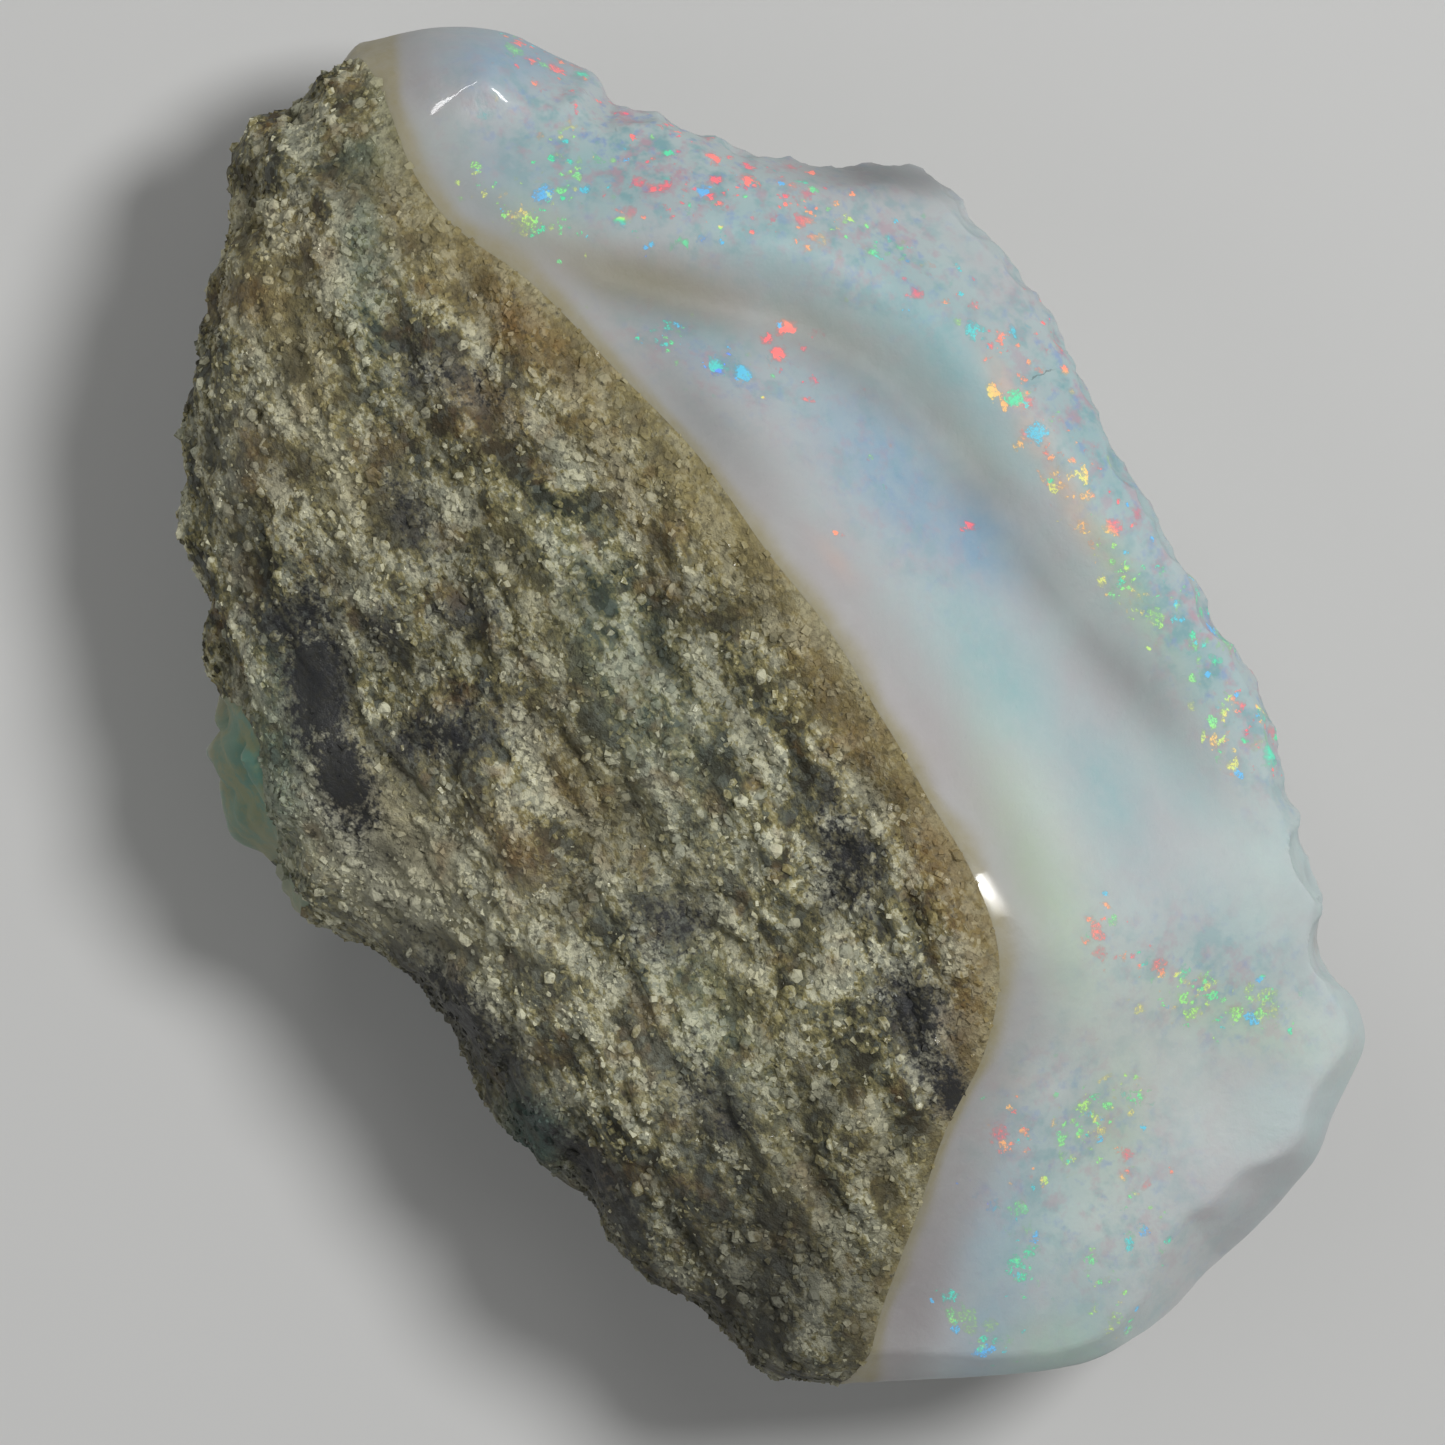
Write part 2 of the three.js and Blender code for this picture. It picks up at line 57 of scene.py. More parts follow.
# The stone's form, in millimetres and aslant as it is held up; turn and shift bring it into the frame
stone = {
    "turn": 59, "shift": (0.5756, 1.0694),
    "rings": 138,
    "ridgeRounding": 0.8,
    "sandFall": (0.13, 0.017), "opalFall": (0.56, 0.05, 0.004), "opalEase": (5, 17),
    "ridgeHeading": -69, "stepHeading": -35,
    "step": {"rise": 1.8, "flank": 2.9, "groove": 0.15, "grooveWidth": 1.2},
    "leastWall": 1.5, "crestRounding": 0.08, "edgeWobble": (1.4, 0.3),
    "outline": [
        (12.8, -1.3), (12.4, 0.1), (11.8, 1.1), (11.2, 2.1), (10.6, 3.1), (9.85, 4.1), (9.4, 5.1), (8.75, 6.1),
        (8.2, 7.1), (7.85, 8.1), (7.35, 9.1), (6.8, 10.1), (6.05, 11.1), (5.1, 12.1), (4.4, 13.1), (3.2, 13.6),
        (1.9, 13.5), (0.7, 13.6), (-0.8, 13.95), (-2.8, 14.9), (-4, 15), (-4.4, 15.7), (-5.3, 16.2), (-6.8, 16.8),
        (-8.6, 16.85), (-10.7, 16.2), (-12.2, 15), (-13.5, 13.8), (-13.5, 12.4), (-14, 10.1), (-14.6, 8.1),
        (-14.75, 6.4), (-14.6, 4.6), (-14.2, 2.3), (-13.85, -0.4), (-13.7, -2.2), (-13.3, -3.3), (-12.6, -3.95),
        (-12.15, -4.2), (-12.1, -4.75), (-11.6, -5.25), (-10.7, -5.6), (-9.3, -6.6), (-8.1, -8.2), (-6.9, -9.9),
        (-4.6, -12.55), (-3.3, -14), (-1.8, -15.3), (0, -16.95), (1.2, -17.1), (3.4, -17), (6, -16.85),
        (8, -16.5), (9, -15.95), (9.85, -15.4), (10.8, -14.4), (11.9, -13.4), (12.85, -12.4), (13.6, -11.4),
        (13.95, -10.4), (14.4, -9.4), (14.78, -8.4), (14.55, -7.5), (14.15, -6.95), (13.78, -5.9), (13.8, -4.9),
        (13.5, -3.9), (13.2, -2.9), (12.8, -2)],
    "ridge": [  # x, y, height
        (-11, 23, 5.8), (-9.7, 17.2, 8), (-9.2, 14.1, 9.4), (-8.1, 12.2, 10.4), (-5.8, 10.4, 11.4),
        (-3.8, 8.3, 12.2), (-1.8, 6.2, 12.8), (-0.2, 3.9, 13.2), (1.5, 1.8, 13.4), (2.8, -0.4, 13.4),
        (4, -2.4, 13.3), (5.2, -4.4, 13.3), (5.75, -6.4, 13.15), (5.4, -8.5, 12.5), (4.4, -10.6, 11.6),
        (3.7, -12.7, 10.6), (2.9, -14.9, 9.8), (2.3, -17.5, 8.8), (1.2, -23, 6.8)],
    "stepLine": [  # x, y, share of the step
        (-16, 12.4, 0), (-10.4, 11.4, 0.25), (-6.8, 11, 0.7), (-4.8, 10.4, 0.95), (-2.1, 9.6, 1), (0.7, 8.8, 1),
        (2.7, 7.6, 0.9), (4.4, 5.7, 0.78), (6.2, 3.5, 0.65), (8.2, 1.3, 0.5), (10, -0.7, 0.35),
        (11.7, -2.6, 0.18), (13.6, -4.8, 0), (19, -10.5, 0)],
    "edges": [  # direction, drop, width, roundness, wall slope
        (0, 0.5, 0.35, 0, 3), (17, 0.4, 0.3, 0, 2.4), (39, 0.4, 0.3, 0, 3.2), (66, 0.5, 0.4, 0, 2),
        (76, 1.1, 0.8, 0, 1.6), (90, 0.9, 0.7, 0, 2.2), (103, 0.6, 0.4, 0.2, 2.6), (107, 1.9, 1.3, 0.4, 1.9),
        (117, 2.4, 2.4, 0.9, 1.5), (128, 2.6, 2.4, 1, 1.8), (150, 2.8, 2.6, 1, 1.3), (175, 2.6, 2.2, 1, 2),
        (188, 2.9, 1.7, 0.8, 1.5), (198, 3.1, 1.4, 0.5, 1.7), (206, 3, 1.6, 0.8, 1.4), (220, 3, 2.4, 1, 1.9),
        (250, 3, 2.4, 1, 1.4), (264, 2.4, 1.8, 0.7, 1.7), (273, 1.2, 0.7, 0.4, 2.1), (293, 0.9, 0.5, 0.4, 2.4),
        (299, 0.9, 0.5, 0, 2), (303, 1.5, 1, 0, 1.6), (309, 2, 1.3, 0, 1.4), (315, 1.8, 1.1, 0, 1.4),
        (322, 1.2, 0.7, 0, 1.7), (331, 0.8, 0.5, 0, 2.1), (341, 0.6, 0.4, 0, 2.6)],
    "underBreaks": [
        (112, 7.6, 0.34), (38, 5.4, 0.42), (345, 7, 0.3), (292, 7.8, 0.38), (232, 5.2, 0.5), (168, 6.2, 0.3)],
    "scoops": [
        (20.4, 8.6, 3.4, 10), (12.6, 19.4, 1.6, 9.6), (22.6, -3.4, 2.2, 9.6), (21.2, -15.4, 0.4, 9.4),
        (9.6, -25.6, 1.6, 9.8), (-1, 23.6, 1.4, 9.8), (-20.6, -8.4, -2.4, 9), (-11.6, -18.2, -2.6, 9.6),
        (-23.2, 5.4, -3.6, 9.8), (-15.4, 21.6, -2.2, 8.4)],
    "sandLumps": [  # x, y, radius along and across, height
        (-3.7, 3.3, 2.8, 0.8, -0.6), (-5.4, 1.6, 3.4, 1.2, 0.45), (-2, -0.6, 2.6, 1, 0.3),
        (-10.6, 8.6, 3, 1.6, 0.35), (-8.4, 4.8, 2.4, 1.1, -0.3), (-11.6, 1.2, 2.2, 1.1, -0.45),
        (-9.4, -0.8, 1.8, 1, -0.35), (-6.6, -4.4, 3, 1.4, 0.45), (-1.6, -5.4, 2.6, 1.1, -0.4),
        (1.6, -4.6, 2.4, 1, -0.35), (-3.2, -8.6, 2.8, 1.4, 0.35), (1.2, -9.4, 3, 1.2, 0.3),
        (-0.6, -12.6, 2.4, 1, -0.3), (-10.8, 12.4, 2.2, 1.2, 0.3), (-5.4, 7.4, 2.4, 1, 0.25)],
    "opalLumps": [
        (-7, 16, 2.3, 1, 0.8, -6), (-6, 13.6, 3, 0.9, -0.3, -20), (0.6, 11.6, 3.4, 1.3, 0.25, -32),
        (3.6, 12.4, 1.6, 1.2, -0.35, -20), (7.6, 6.4, 3, 0.9, 0.25, -58), (8.4, -6.6, 3.4, 2.2, 0.35, -40),
        (10.6, -9.6, 2.4, 1.6, -0.25, -60), (6.2, -11.6, 4, 0.8, 0.35, -118), (5, -0.6, 3.6, 1, -0.2, -58),
        (6.6, -4.6, 1.6, 0.9, -0.16, -66)],
    "nodules": [(-13, -1.6, 4.6, 1.4, 2.5, 3.2), (-11.3, -4.6, 3.6, 1.2, 1, 3.2)],
    "seam": [
        (6, 15), (2, 5), (0, 0), (-1.4, -2.2), (-3.6, -4.2), (-7, -6.4), (-12, -9.2), (-18, -11.6), (-27, -14)],
    "chips": {"count": 110, "seed": 11, "radius": (0.25, 1.4), "depth": (0.05, 0.22), "tilt": (-0.5, 0.8),
              "from": -24, "to": 104},
    "bedding": -64,  # the sandstone's clumps and furrows run this way
    "furrows": [(3.6, 1.7, 0.55), (1.5, 0.66, 0.36), (0.62, 0.3, 0.14)],  # length, width, height
    "clump": (1.2, 0.16), "sway": (2.4, 0.8), "swell": (4.5, 0.14),  # size and height
    "opalGrit": [(1.1, 0.035), (0.35, 0.008)],
}


def smoothStep(t):
    t = np.clip(t, 0, 1)
    return t * t * (3 - 2 * t)


def turned(x, y, degrees):  # how far along a heading a place lies, and how far to its left
    c, s = math.cos(math.radians(degrees)), math.sin(math.radians(degrees))
    return x * c + y * s, y * c - x * s


def cornerNumber(i, j, k):  # the same repeating numbers as the solids'
    h = (i * 374761393 + j * 668265263 + k * 1440662683) & 0xFFFFFFFF
    h = ((h ^ (h >> 13)) * 1274126177) & 0xFFFFFFFF
    return (h ^ (h >> 16)) / 4294967296


def noise(x, y, z):
    cells = [np.floor(v).astype(np.int64) for v in (x, y, z)]
    u, v, w = (smoothStep(a - c) for a, c in zip((x, y, z), cells))
    total = 0
    for a, wa in ((0, 1 - u), (1, u)):
        for b, wb in ((0, 1 - v), (1, v)):
            for c, wc in ((0, 1 - w), (1, w)):
                total = total + wa * wb * wc * cornerNumber(cells[0] + a, cells[1] + b, cells[2] + c)
    return 2 * total - 1


def smoothLine(points, closed, count):  # centripetal curve through the points, in even steps
    p = np.array([(*q, 0.0)[:3] for q in points])
    p = np.vstack([p[-1:], p, p[:2]]) if closed else np.vstack([2 * p[0] - p[1], p, 2 * p[-1] - p[-2]])
    t = np.linspace(0, 1, 25)[:-1, None]
    made = []
    for a, b, c, d in zip(p, p[1:], p[2:], p[3:]):
        ab, bc, cd = (max(np.linalg.norm(m - n), 1e-9) ** 0.5 for m, n in ((a, b), (b, c), (c, d)))
        left = ((b - a) / ab - (c - a) / (ab + bc) + (c - b) / bc) * bc
        right = ((c - b) / bc - (d - b) / (bc + cd) + (d - c) / cd) * bc
        square, cube = 3 * (c - b) - 2 * left - right, 2 * (b - c) + left + right
        made.append(b + left * t + square * t ** 2 + cube * t ** 3)
    line = np.vstack([*made, p[-2:-1]])
    walked = np.concatenate([[0], np.cumsum(np.linalg.norm(np.diff(line, axis=0), axis=1))])
    even = np.linspace(0, walked[-1], count + 1)
    return np.stack([np.interp(even, walked, line[:, n]) for n in range(3)], axis=1)


def guideLine(points, heading):  # how far a place lies to the line's left, its third number, how far along
    line = smoothLine(points, False, 300)
    along, left = turned(line[:, 0], line[:, 1], heading)

    def beside(x, y):
        v, side = turned(x, y, heading)
        v = np.clip(v, along[0], along[-1])
        return side - np.interp(v, along, left), np.interp(v, along, line[:, 2]), v
    return beside


besideRidge = guideLine(stone["ridge"], stone["ridgeHeading"])
besideStep = guideLine(stone["stepLine"], stone["stepHeading"])
outline = smoothLine(stone["outline"], True, 360)[:, :2]
heart = np.array([0, 0, 5.0])  # scoops, chips and roughness work towards this place


def nearestRim(x, y):
    spots, ways = [], []
    a, e = outline[:-1], np.diff(outline, axis=0)
    square = (e ** 2).sum(1)
    for s in range(0, len(x), 5000):
        px, py = x[s:s + 5000, None], y[s:s + 5000, None]
        t = np.clip(((px - a[:, 0]) * e[:, 0] + (py - a[:, 1]) * e[:, 1]) / square, 0, 1)
        qx, qy = a[:, 0] + t * e[:, 0], a[:, 1] + t * e[:, 1]
        far = np.hypot(px - qx, py - qy)
        best = far.argmin(1)
        rows = np.arange(len(best))
        spots.append(np.stack([qx[rows, best], qy[rows, best]], 1))
        ways.append(far[rows, best])
    return np.vstack(spots), np.concatenate(ways)


def edgeAt(x, y):
    angle = np.degrees(np.arctan2(y, x)) % 360
    table = np.array(stone["edges"])
    return [np.interp(angle, table[:, 0], table[:, n], period=360) for n in (1, 2, 3, 4)]


def lump(x, y, lx, ly, along, across, height, heading):
    u, v = turned(x - lx, y - ly, heading)
    u, v = u / along, v / across
    return height * np.exp(-(u * u + v * v))


def faceHeight(x, y):
    out, ridge, along = besideRidge(x, y)
    inward, away = np.maximum(-out, 0), np.maximum(out, 0)
    sand = ridge + stone["sandFall"][0] * out - stone["sandFall"][1] * inward ** 2
    lumps = sum(lump(x, y, *one, stone["bedding"]) for one in stone["sandLumps"])
    sand = sand + lumps * smoothStep(inward / 2)
    beyond, share, _ = besideStep(x, y)
    size = stone["step"]
    rise = smoothStep(beyond / size["flank"]) * size["rise"]
    rise = rise - size["groove"] * np.exp(-((beyond / size["grooveWidth"]) ** 2))
    start, end = stone["opalEase"]
    steep, flat, curve = stone["opalFall"]
    slope = steep + (flat - steep) * smoothStep((along - start) / (end - start)) * smoothStep(away / 2)
    opal = ridge - slope * out - curve * away ** 2 + rise * share * smoothStep(away / 1.5)
    opal = opal + sum(lump(x, y, *one) for one in stone["opalLumps"]) * smoothStep(away)
    k = stone["ridgeRounding"]
    h = np.maximum(k - np.abs(sand - opal), 0) / k
    return np.minimum(sand, opal) - h * h * k / 4


def surface(x, y, below):
    rim, far = nearestRim(x, y)
    rimX, rimY = rim.T
    drop, width, roundness, wall = edgeAt(rimX, rimY)
    size, part = stone["edgeWobble"]
    width = width * (1 + part * noise(rimX / size, rimY / size, rimX * 0))
    u = np.minimum(far / width, 1)
    k = stone["crestRounding"]
    straight = u - np.maximum(k - np.abs(far / width - 1), 0) ** 2 / (4 * k)
    lifted = straight + (np.sqrt(1 - (1 - u) ** 2) - straight) * roundness
    top = faceHeight(x, y) - drop * (1 - lifted)
    rimHeight = faceHeight(rimX, rimY) - drop
    under = np.zeros_like(x)
    for degrees, start, slope in stone["underBreaks"]:
        under = np.maximum(under, slope * (turned(x, y, degrees)[0] - start))
    under = np.maximum(np.minimum(under, rimHeight - stone["leastWall"]), rimHeight - wall * far)
    return np.where(below, under, top)


def evenShares(below, steps=56, places=480):  # shares of the way out that are even along the surface
    rim = outline[np.linspace(0, len(outline) - 1, places + 1).astype(int)]
    share = np.sin(np.linspace(0, np.pi / 2, steps + 1))
    x, y = rim[:, :1] * share, rim[:, 1:] * share
    z = surface(x.ravel(), y.ravel(), below).reshape(x.shape)
    leg = np.sqrt(np.diff(x) ** 2 + np.diff(y) ** 2 + np.diff(z) ** 2)
    walked = np.hstack([np.zeros((len(rim), 1)), np.cumsum(leg, axis=1)])
    parts = np.linspace(0, 1, stone["rings"] + 1)
    return np.array([np.interp(parts * w[-1], w, share) for w in walked])


def scoopOut(p, balls):  # draws points towards the heart until they are out of every ball
    d = p - heart
    for *ball, radius in balls:
        near = np.linalg.norm(p - ball, axis=1) < radius
        if not near.any():
            continue
        o = heart - ball
        a, b = (d[near] ** 2).sum(1), d[near] @ o
        inside = b * b - a * (o @ o - radius ** 2)
        enters = (-b - np.sqrt(np.maximum(inside, 0))) / a
        cut = np.where((inside > 0) & (enters > 0) & (enters < 1), enters, 1.0)
        d[near] *= cut[:, None]
        p[near] = d[near] + heart
    return d + heart


def chipBalls():  # small shell-shaped chips along the opal's broken edge
    chips = stone["chips"]
    rng = np.random.default_rng(chips["seed"])
    angles = np.degrees(np.arctan2(outline[:, 1], outline[:, 0]))
    along = outline[(angles > chips["from"]) & (angles < chips["to"])]
    balls = []
    for _ in range(chips["count"]):
        x, y = along[rng.integers(len(along))]
        radius, depth = rng.uniform(*chips["radius"]), rng.uniform(*chips["depth"])
        rim = surface(np.array([x]), np.array([y]), False)[0]
        tilt = rng.uniform(*chips["tilt"])
        way = np.array([x, y, 0.0]) / math.hypot(x, y) * math.cos(tilt) + np.array([0, 0, math.sin(tilt)])
        balls.append((*(np.array([x, y, rim]) + way * (radius - depth)), radius))
    return balls


def stoneSurface():
    rings = stone["rings"]
    ring = np.concatenate([[0]] + [np.full(6 * r, r) for r in range(1, rings + 1)])
    turn = np.concatenate([[0.0]] + [np.arange(6 * r) / (6 * r) for r in range(1, rings + 1)])
    spot = turn * (len(outline) - 1)
    rim = np.stack([np.interp(spot, np.arange(len(outline)), outline[:, n]) for n in (0, 1)], axis=1)
    sheets = []
    for below in (False, True):
        table = evenShares(below)
        place = turn * (len(table) - 1)
        low = np.minimum(place.astype(int), len(table) - 2)
        t = place - low
        share = table[low, ring] * (1 - t) + table[low + 1, ring] * t
        x, y = (rim * share[:, None]).T
        sheets.append(np.stack([x, y, surface(x, y, below)], axis=1))
    faces = []
    first = lambda r: np.where(r == 0, 0, 1 + 3 * r * (r - 1))
    for r in range(1, rings + 1):
        sector, k = np.divmod(np.arange(6 * r), r)
        outer = lambda n: first(r) + n % (6 * r)
        inner = lambda n: (first(r - 1) + n % (6 * (r - 1))) if r > 1 else n * 0
        a, b = outer(sector * r + k), outer(sector * r + k + 1)
        c, d = inner(sector * (r - 1) + k), inner(sector * (r - 1) + k + 1)
        faces.append(np.stack([a, b, c], axis=1))
        keep = k < r - 1
        faces.append(np.stack([b, d, c], axis=1)[keep])
    faces = np.vstack(faces)
    inside = len(ring) - 6 * rings  # the sheets share their last ring
    joined = np.arange(len(ring))
    joined[:inside] += len(ring)
    points = np.vstack([sheets[0], sheets[1][:inside]])
    flat = np.concatenate([np.zeros(len(ring), bool), sheets[1][:inside, 2] < 0.02])  # rests on the floor
    under = joined[faces][:, ::-1]
    return points, flat, np.vstack([faces, under])


def furrowed(x, y, z):  # clumps and the furrows between them, high or low in millimetres
    along, across = turned(x, y, stone["bedding"])
    size, height = stone["clump"]
    relief = height * noise(x / size, y / size, z / size)
    size, sway = stone["sway"]
    across = across + sway * noise(x / size, y / size, z / size + 9)
    for n, (length, width, height) in enumerate(stone["furrows"]):
        folded = noise(along / length + 3 * n, across / width, z / (width * 1.6))
        relief = relief + height * (np.sqrt(folded ** 2 + 0.01) - 0.3)
    return relief


def roughen(p, flat):
    x, y, z = p.T
    sandy = smoothStep(-besideRidge(x, y)[0] / 1.5) * smoothStep((z - 1.5) / 2)
    coarse = furrowed(x, y, z)
    size, height = stone["swell"]
    fine = height * noise(x / size + 7, y / size, z / size)
    for n, (size, height) in enumerate(stone["opalGrit"]):
        fine = fine + height * noise(x / size + 5 * n, y / size, z / size)
    k = 1 + (fine + (coarse - fine) * sandy) / np.linalg.norm(p - heart, axis=1)
    moved = (p - heart) * k[:, None] + heart
    moved[flat] = p[flat]
    return moved


def toFrame(p):  # from the slanted millimetres to the frame's metres
    x, y = turned(p[:, 0], p[:, 1], -stone["turn"])
    right, up = stone["shift"]
    return np.stack([x + right, y + up, p[:, 2]], axis=1) * mm


def fromFrame(p):
    x, y, z = p.T / mm
    right, up = stone["shift"]
    return np.stack([*turned(x - right, y - up, stone["turn"]), z], axis=1)


def linked(name, data):
    made = bpy.data.objects.new(name, data)
    bpy.context.scene.collection.objects.link(made)
    return made


def newObject(name, points, faces):
    mesh = bpy.data.meshes.new(name)
    mesh.from_pydata(toFrame(np.array(points)).tolist(), [], faces)
    mesh.validate()
    return linked(name, mesh)


def rounds(first, rows, side):  # the faces between rows of points that each go round once
    corners = ((0, 0), (1, 0), (1, 1), (0, 1))
    return [tuple(first + (n + down) * side + (m + on) % side for down, on in corners)
            for n in range(rows) for m in range(side)]


def seamCutter():  # all that lies above the seam between sandstone and opal
    lean, far = math.radians(stone["ridgeHeading"] + 90), 30.0
    profile = [*stone["seam"], (stone["seam"][-1][0], far), (stone["seam"][0][0], far)]
    ridge = smoothLine(stone["ridge"], False, 120)
    points = [(x + out * math.cos(lean), y + out * math.sin(lean), z + up)
              for x, y, z in ridge for out, up in profile]
    side, count = len(profile), len(points)
    ends = [tuple(range(side)), tuple(range(count - 1, count - 1 - side, -1))]
    return newObject("seamCutter", points, rounds(0, len(ridge) - 1, side) + ends)


def ballObject(x, y, z, rx, ry, rz):
    around, rows = 40, 24
    points = [(x, y, z + rz)]
    for r in range(1, rows):
        for k in range(around):
            tilt, way = math.pi * r / rows, 2 * math.pi * k / around
            points.append((x + rx * math.sin(tilt) * math.cos(way), y + ry * math.sin(tilt) * math.sin(way),
                           z + rz * math.cos(tilt)))
    points.append((x, y, z - rz))
    last = 1 + (rows - 2) * around
    top = [(0, 1 + k, 1 + (k + 1) % around) for k in range(around)]
    bottom = [(len(points) - 1, last + (k + 1) % around, last + k) for k in range(around)]
    return newObject("noduleBall", points, top + rounds(1, rows - 2, around) + bottom)


def applied(piece):  # the evaluated mesh takes the place of the piece and its modifiers
    graph = bpy.context.evaluated_depsgraph_get()
    mesh = bpy.data.meshes.new_from_object(piece.evaluated_get(graph))
    piece.modifiers.clear()
    piece.data = mesh


def combine(piece, operation, *others):
    for other in others:
        cut = piece.modifiers.new(operation.lower(), "BOOLEAN")
        cut.operation, cut.solver, cut.object = operation, "MANIFOLD", other
        applied(piece)
    return piece


def keepLargest(piece):  # loose slivers from the cuts are dropped
    mesh = piece.data
    edges = np.empty(len(mesh.edges) * 2, np.int32)
    mesh.edges.foreach_get("vertices", edges)
    a, b = edges.reshape(-1, 2).T
    label, before = np.arange(len(mesh.vertices)), None
    while before is None or (label != before).any():
        before = label.copy()
        low = np.minimum(label[a], label[b])
        np.minimum.at(label, a, low)
        np.minimum.at(label, b, low)
        label = label[label]
    names, counts = np.unique(label, return_counts=True)
    loose = np.nonzero(label != names[counts.argmax()])[0]
    if len(loose):
        work = bmesh.new()
        work.from_mesh(mesh)
        work.verts.ensure_lookup_table()
        bmesh.ops.delete(work, geom=[work.verts[i] for i in loose], context="VERTS")
        work.to_mesh(mesh)
        work.free()


def copyOf(piece, name):
    return linked(name, piece.data.copy())


points, flat, faces = stoneSurface()
print("stone surface", len(points), "points")
points = roughen(points, flat)
points = scoopOut(points, stone["scoops"])
points = scoopOut(points, chipBalls())
points[:, 2] = np.maximum(points[:, 2], 0)
whole = newObject("wholeStone", points, faces.tolist())
cutter = seamCutter()
balls = [ballObject(*nodule) for nodule in stone["nodules"]]
sandstone = combine(copyOf(whole, "sandstoneBed"), "INTERSECT", cutter)
combine(sandstone, "DIFFERENCE", *balls)
opal = combine(copyOf(whole, "opalSeam"), "DIFFERENCE", cutter)
for ball in balls:
    combine(opal, "UNION", combine(copyOf(whole, "noduleCut"), "INTERSECT", ball))
for piece in (sandstone, opal):
    keepLargest(piece)
for extra in [o for o in bpy.data.objects if o.name.startswith(("wholeStone", "seamCutter", "nodule"))]:
    bpy.data.objects.remove(extra)
print("cut apart: sandstone", len(sandstone.data.polygons), "opal", len(opal.data.polygons))


# Masks: soft spots laid over a piece, each x, y, radius along and across, strength, direction
def spots(x, y, places):
    total = np.zeros(len(x))
    for place in places:
        total = np.maximum(total, lump(x, y, *place))
    return total


def zones(x, y, look, *names):
    return {name: spots(x, y, look[name]) for name in names}


def coordinates(piece):
    flatList = np.empty(len(piece.data.vertices) * 3)
    piece.data.vertices.foreach_get("co", flatList)
    return fromFrame(flatList.reshape(-1, 3)).T


def store(piece, masks):
    for name, values in masks.items():
        layer = piece.data.attributes.new(name, "FLOAT", "POINT")
        layer.data.foreach_set("value", np.asarray(values, np.float32))


def plug(tree, socket, value):  # a wire, a socket or a plain value
    value = getattr(value, "socket", value)
    if isinstance(value, bpy.types.NodeSocket):
        tree.links.new(value, socket)
    else:
        socket.default_value = value


def addNode(tree, kind, settings={}, inputs={}):
    node = tree.nodes.new(kind)
    for name, value in settings.items():
        setattr(node, name, value)
    for name, value in inputs.items():
        plug(tree, node.inputs[name], value)
    return node


def mathNode(operation, swapped=False):  # a method that puts wires and numbers through a Math node
    def method(self, *others):
        values = (*others, self) if swapped else (self, *others)
        return self.paint.make("Math", {"operation": operation}, dict(enumerate(values)))
    return method


class Wire:  # a node's output that takes part in Python expressions
    __add__ = __radd__ = mathNode("ADD")
    __mul__ = __rmul__ = mathNode("MULTIPLY")
    __sub__, __rsub__ = mathNode("SUBTRACT"), mathNode("SUBTRACT", swapped=True)
    least, most = mathNode("MINIMUM"), mathNode("MAXIMUM")
    size, fraction = mathNode("ABSOLUTE"), mathNode("FRACT")

    def __init__(self, paint, socket):
        self.paint, self.socket = paint, socket

    def between(self, low, high):  # 0 at low and 1 at high, smooth on the way
        return self.paint.make("MapRange", {"interpolation_type": "SMOOTHSTEP"},
                               {"Value": self, "From Min": low, "From Max": high})


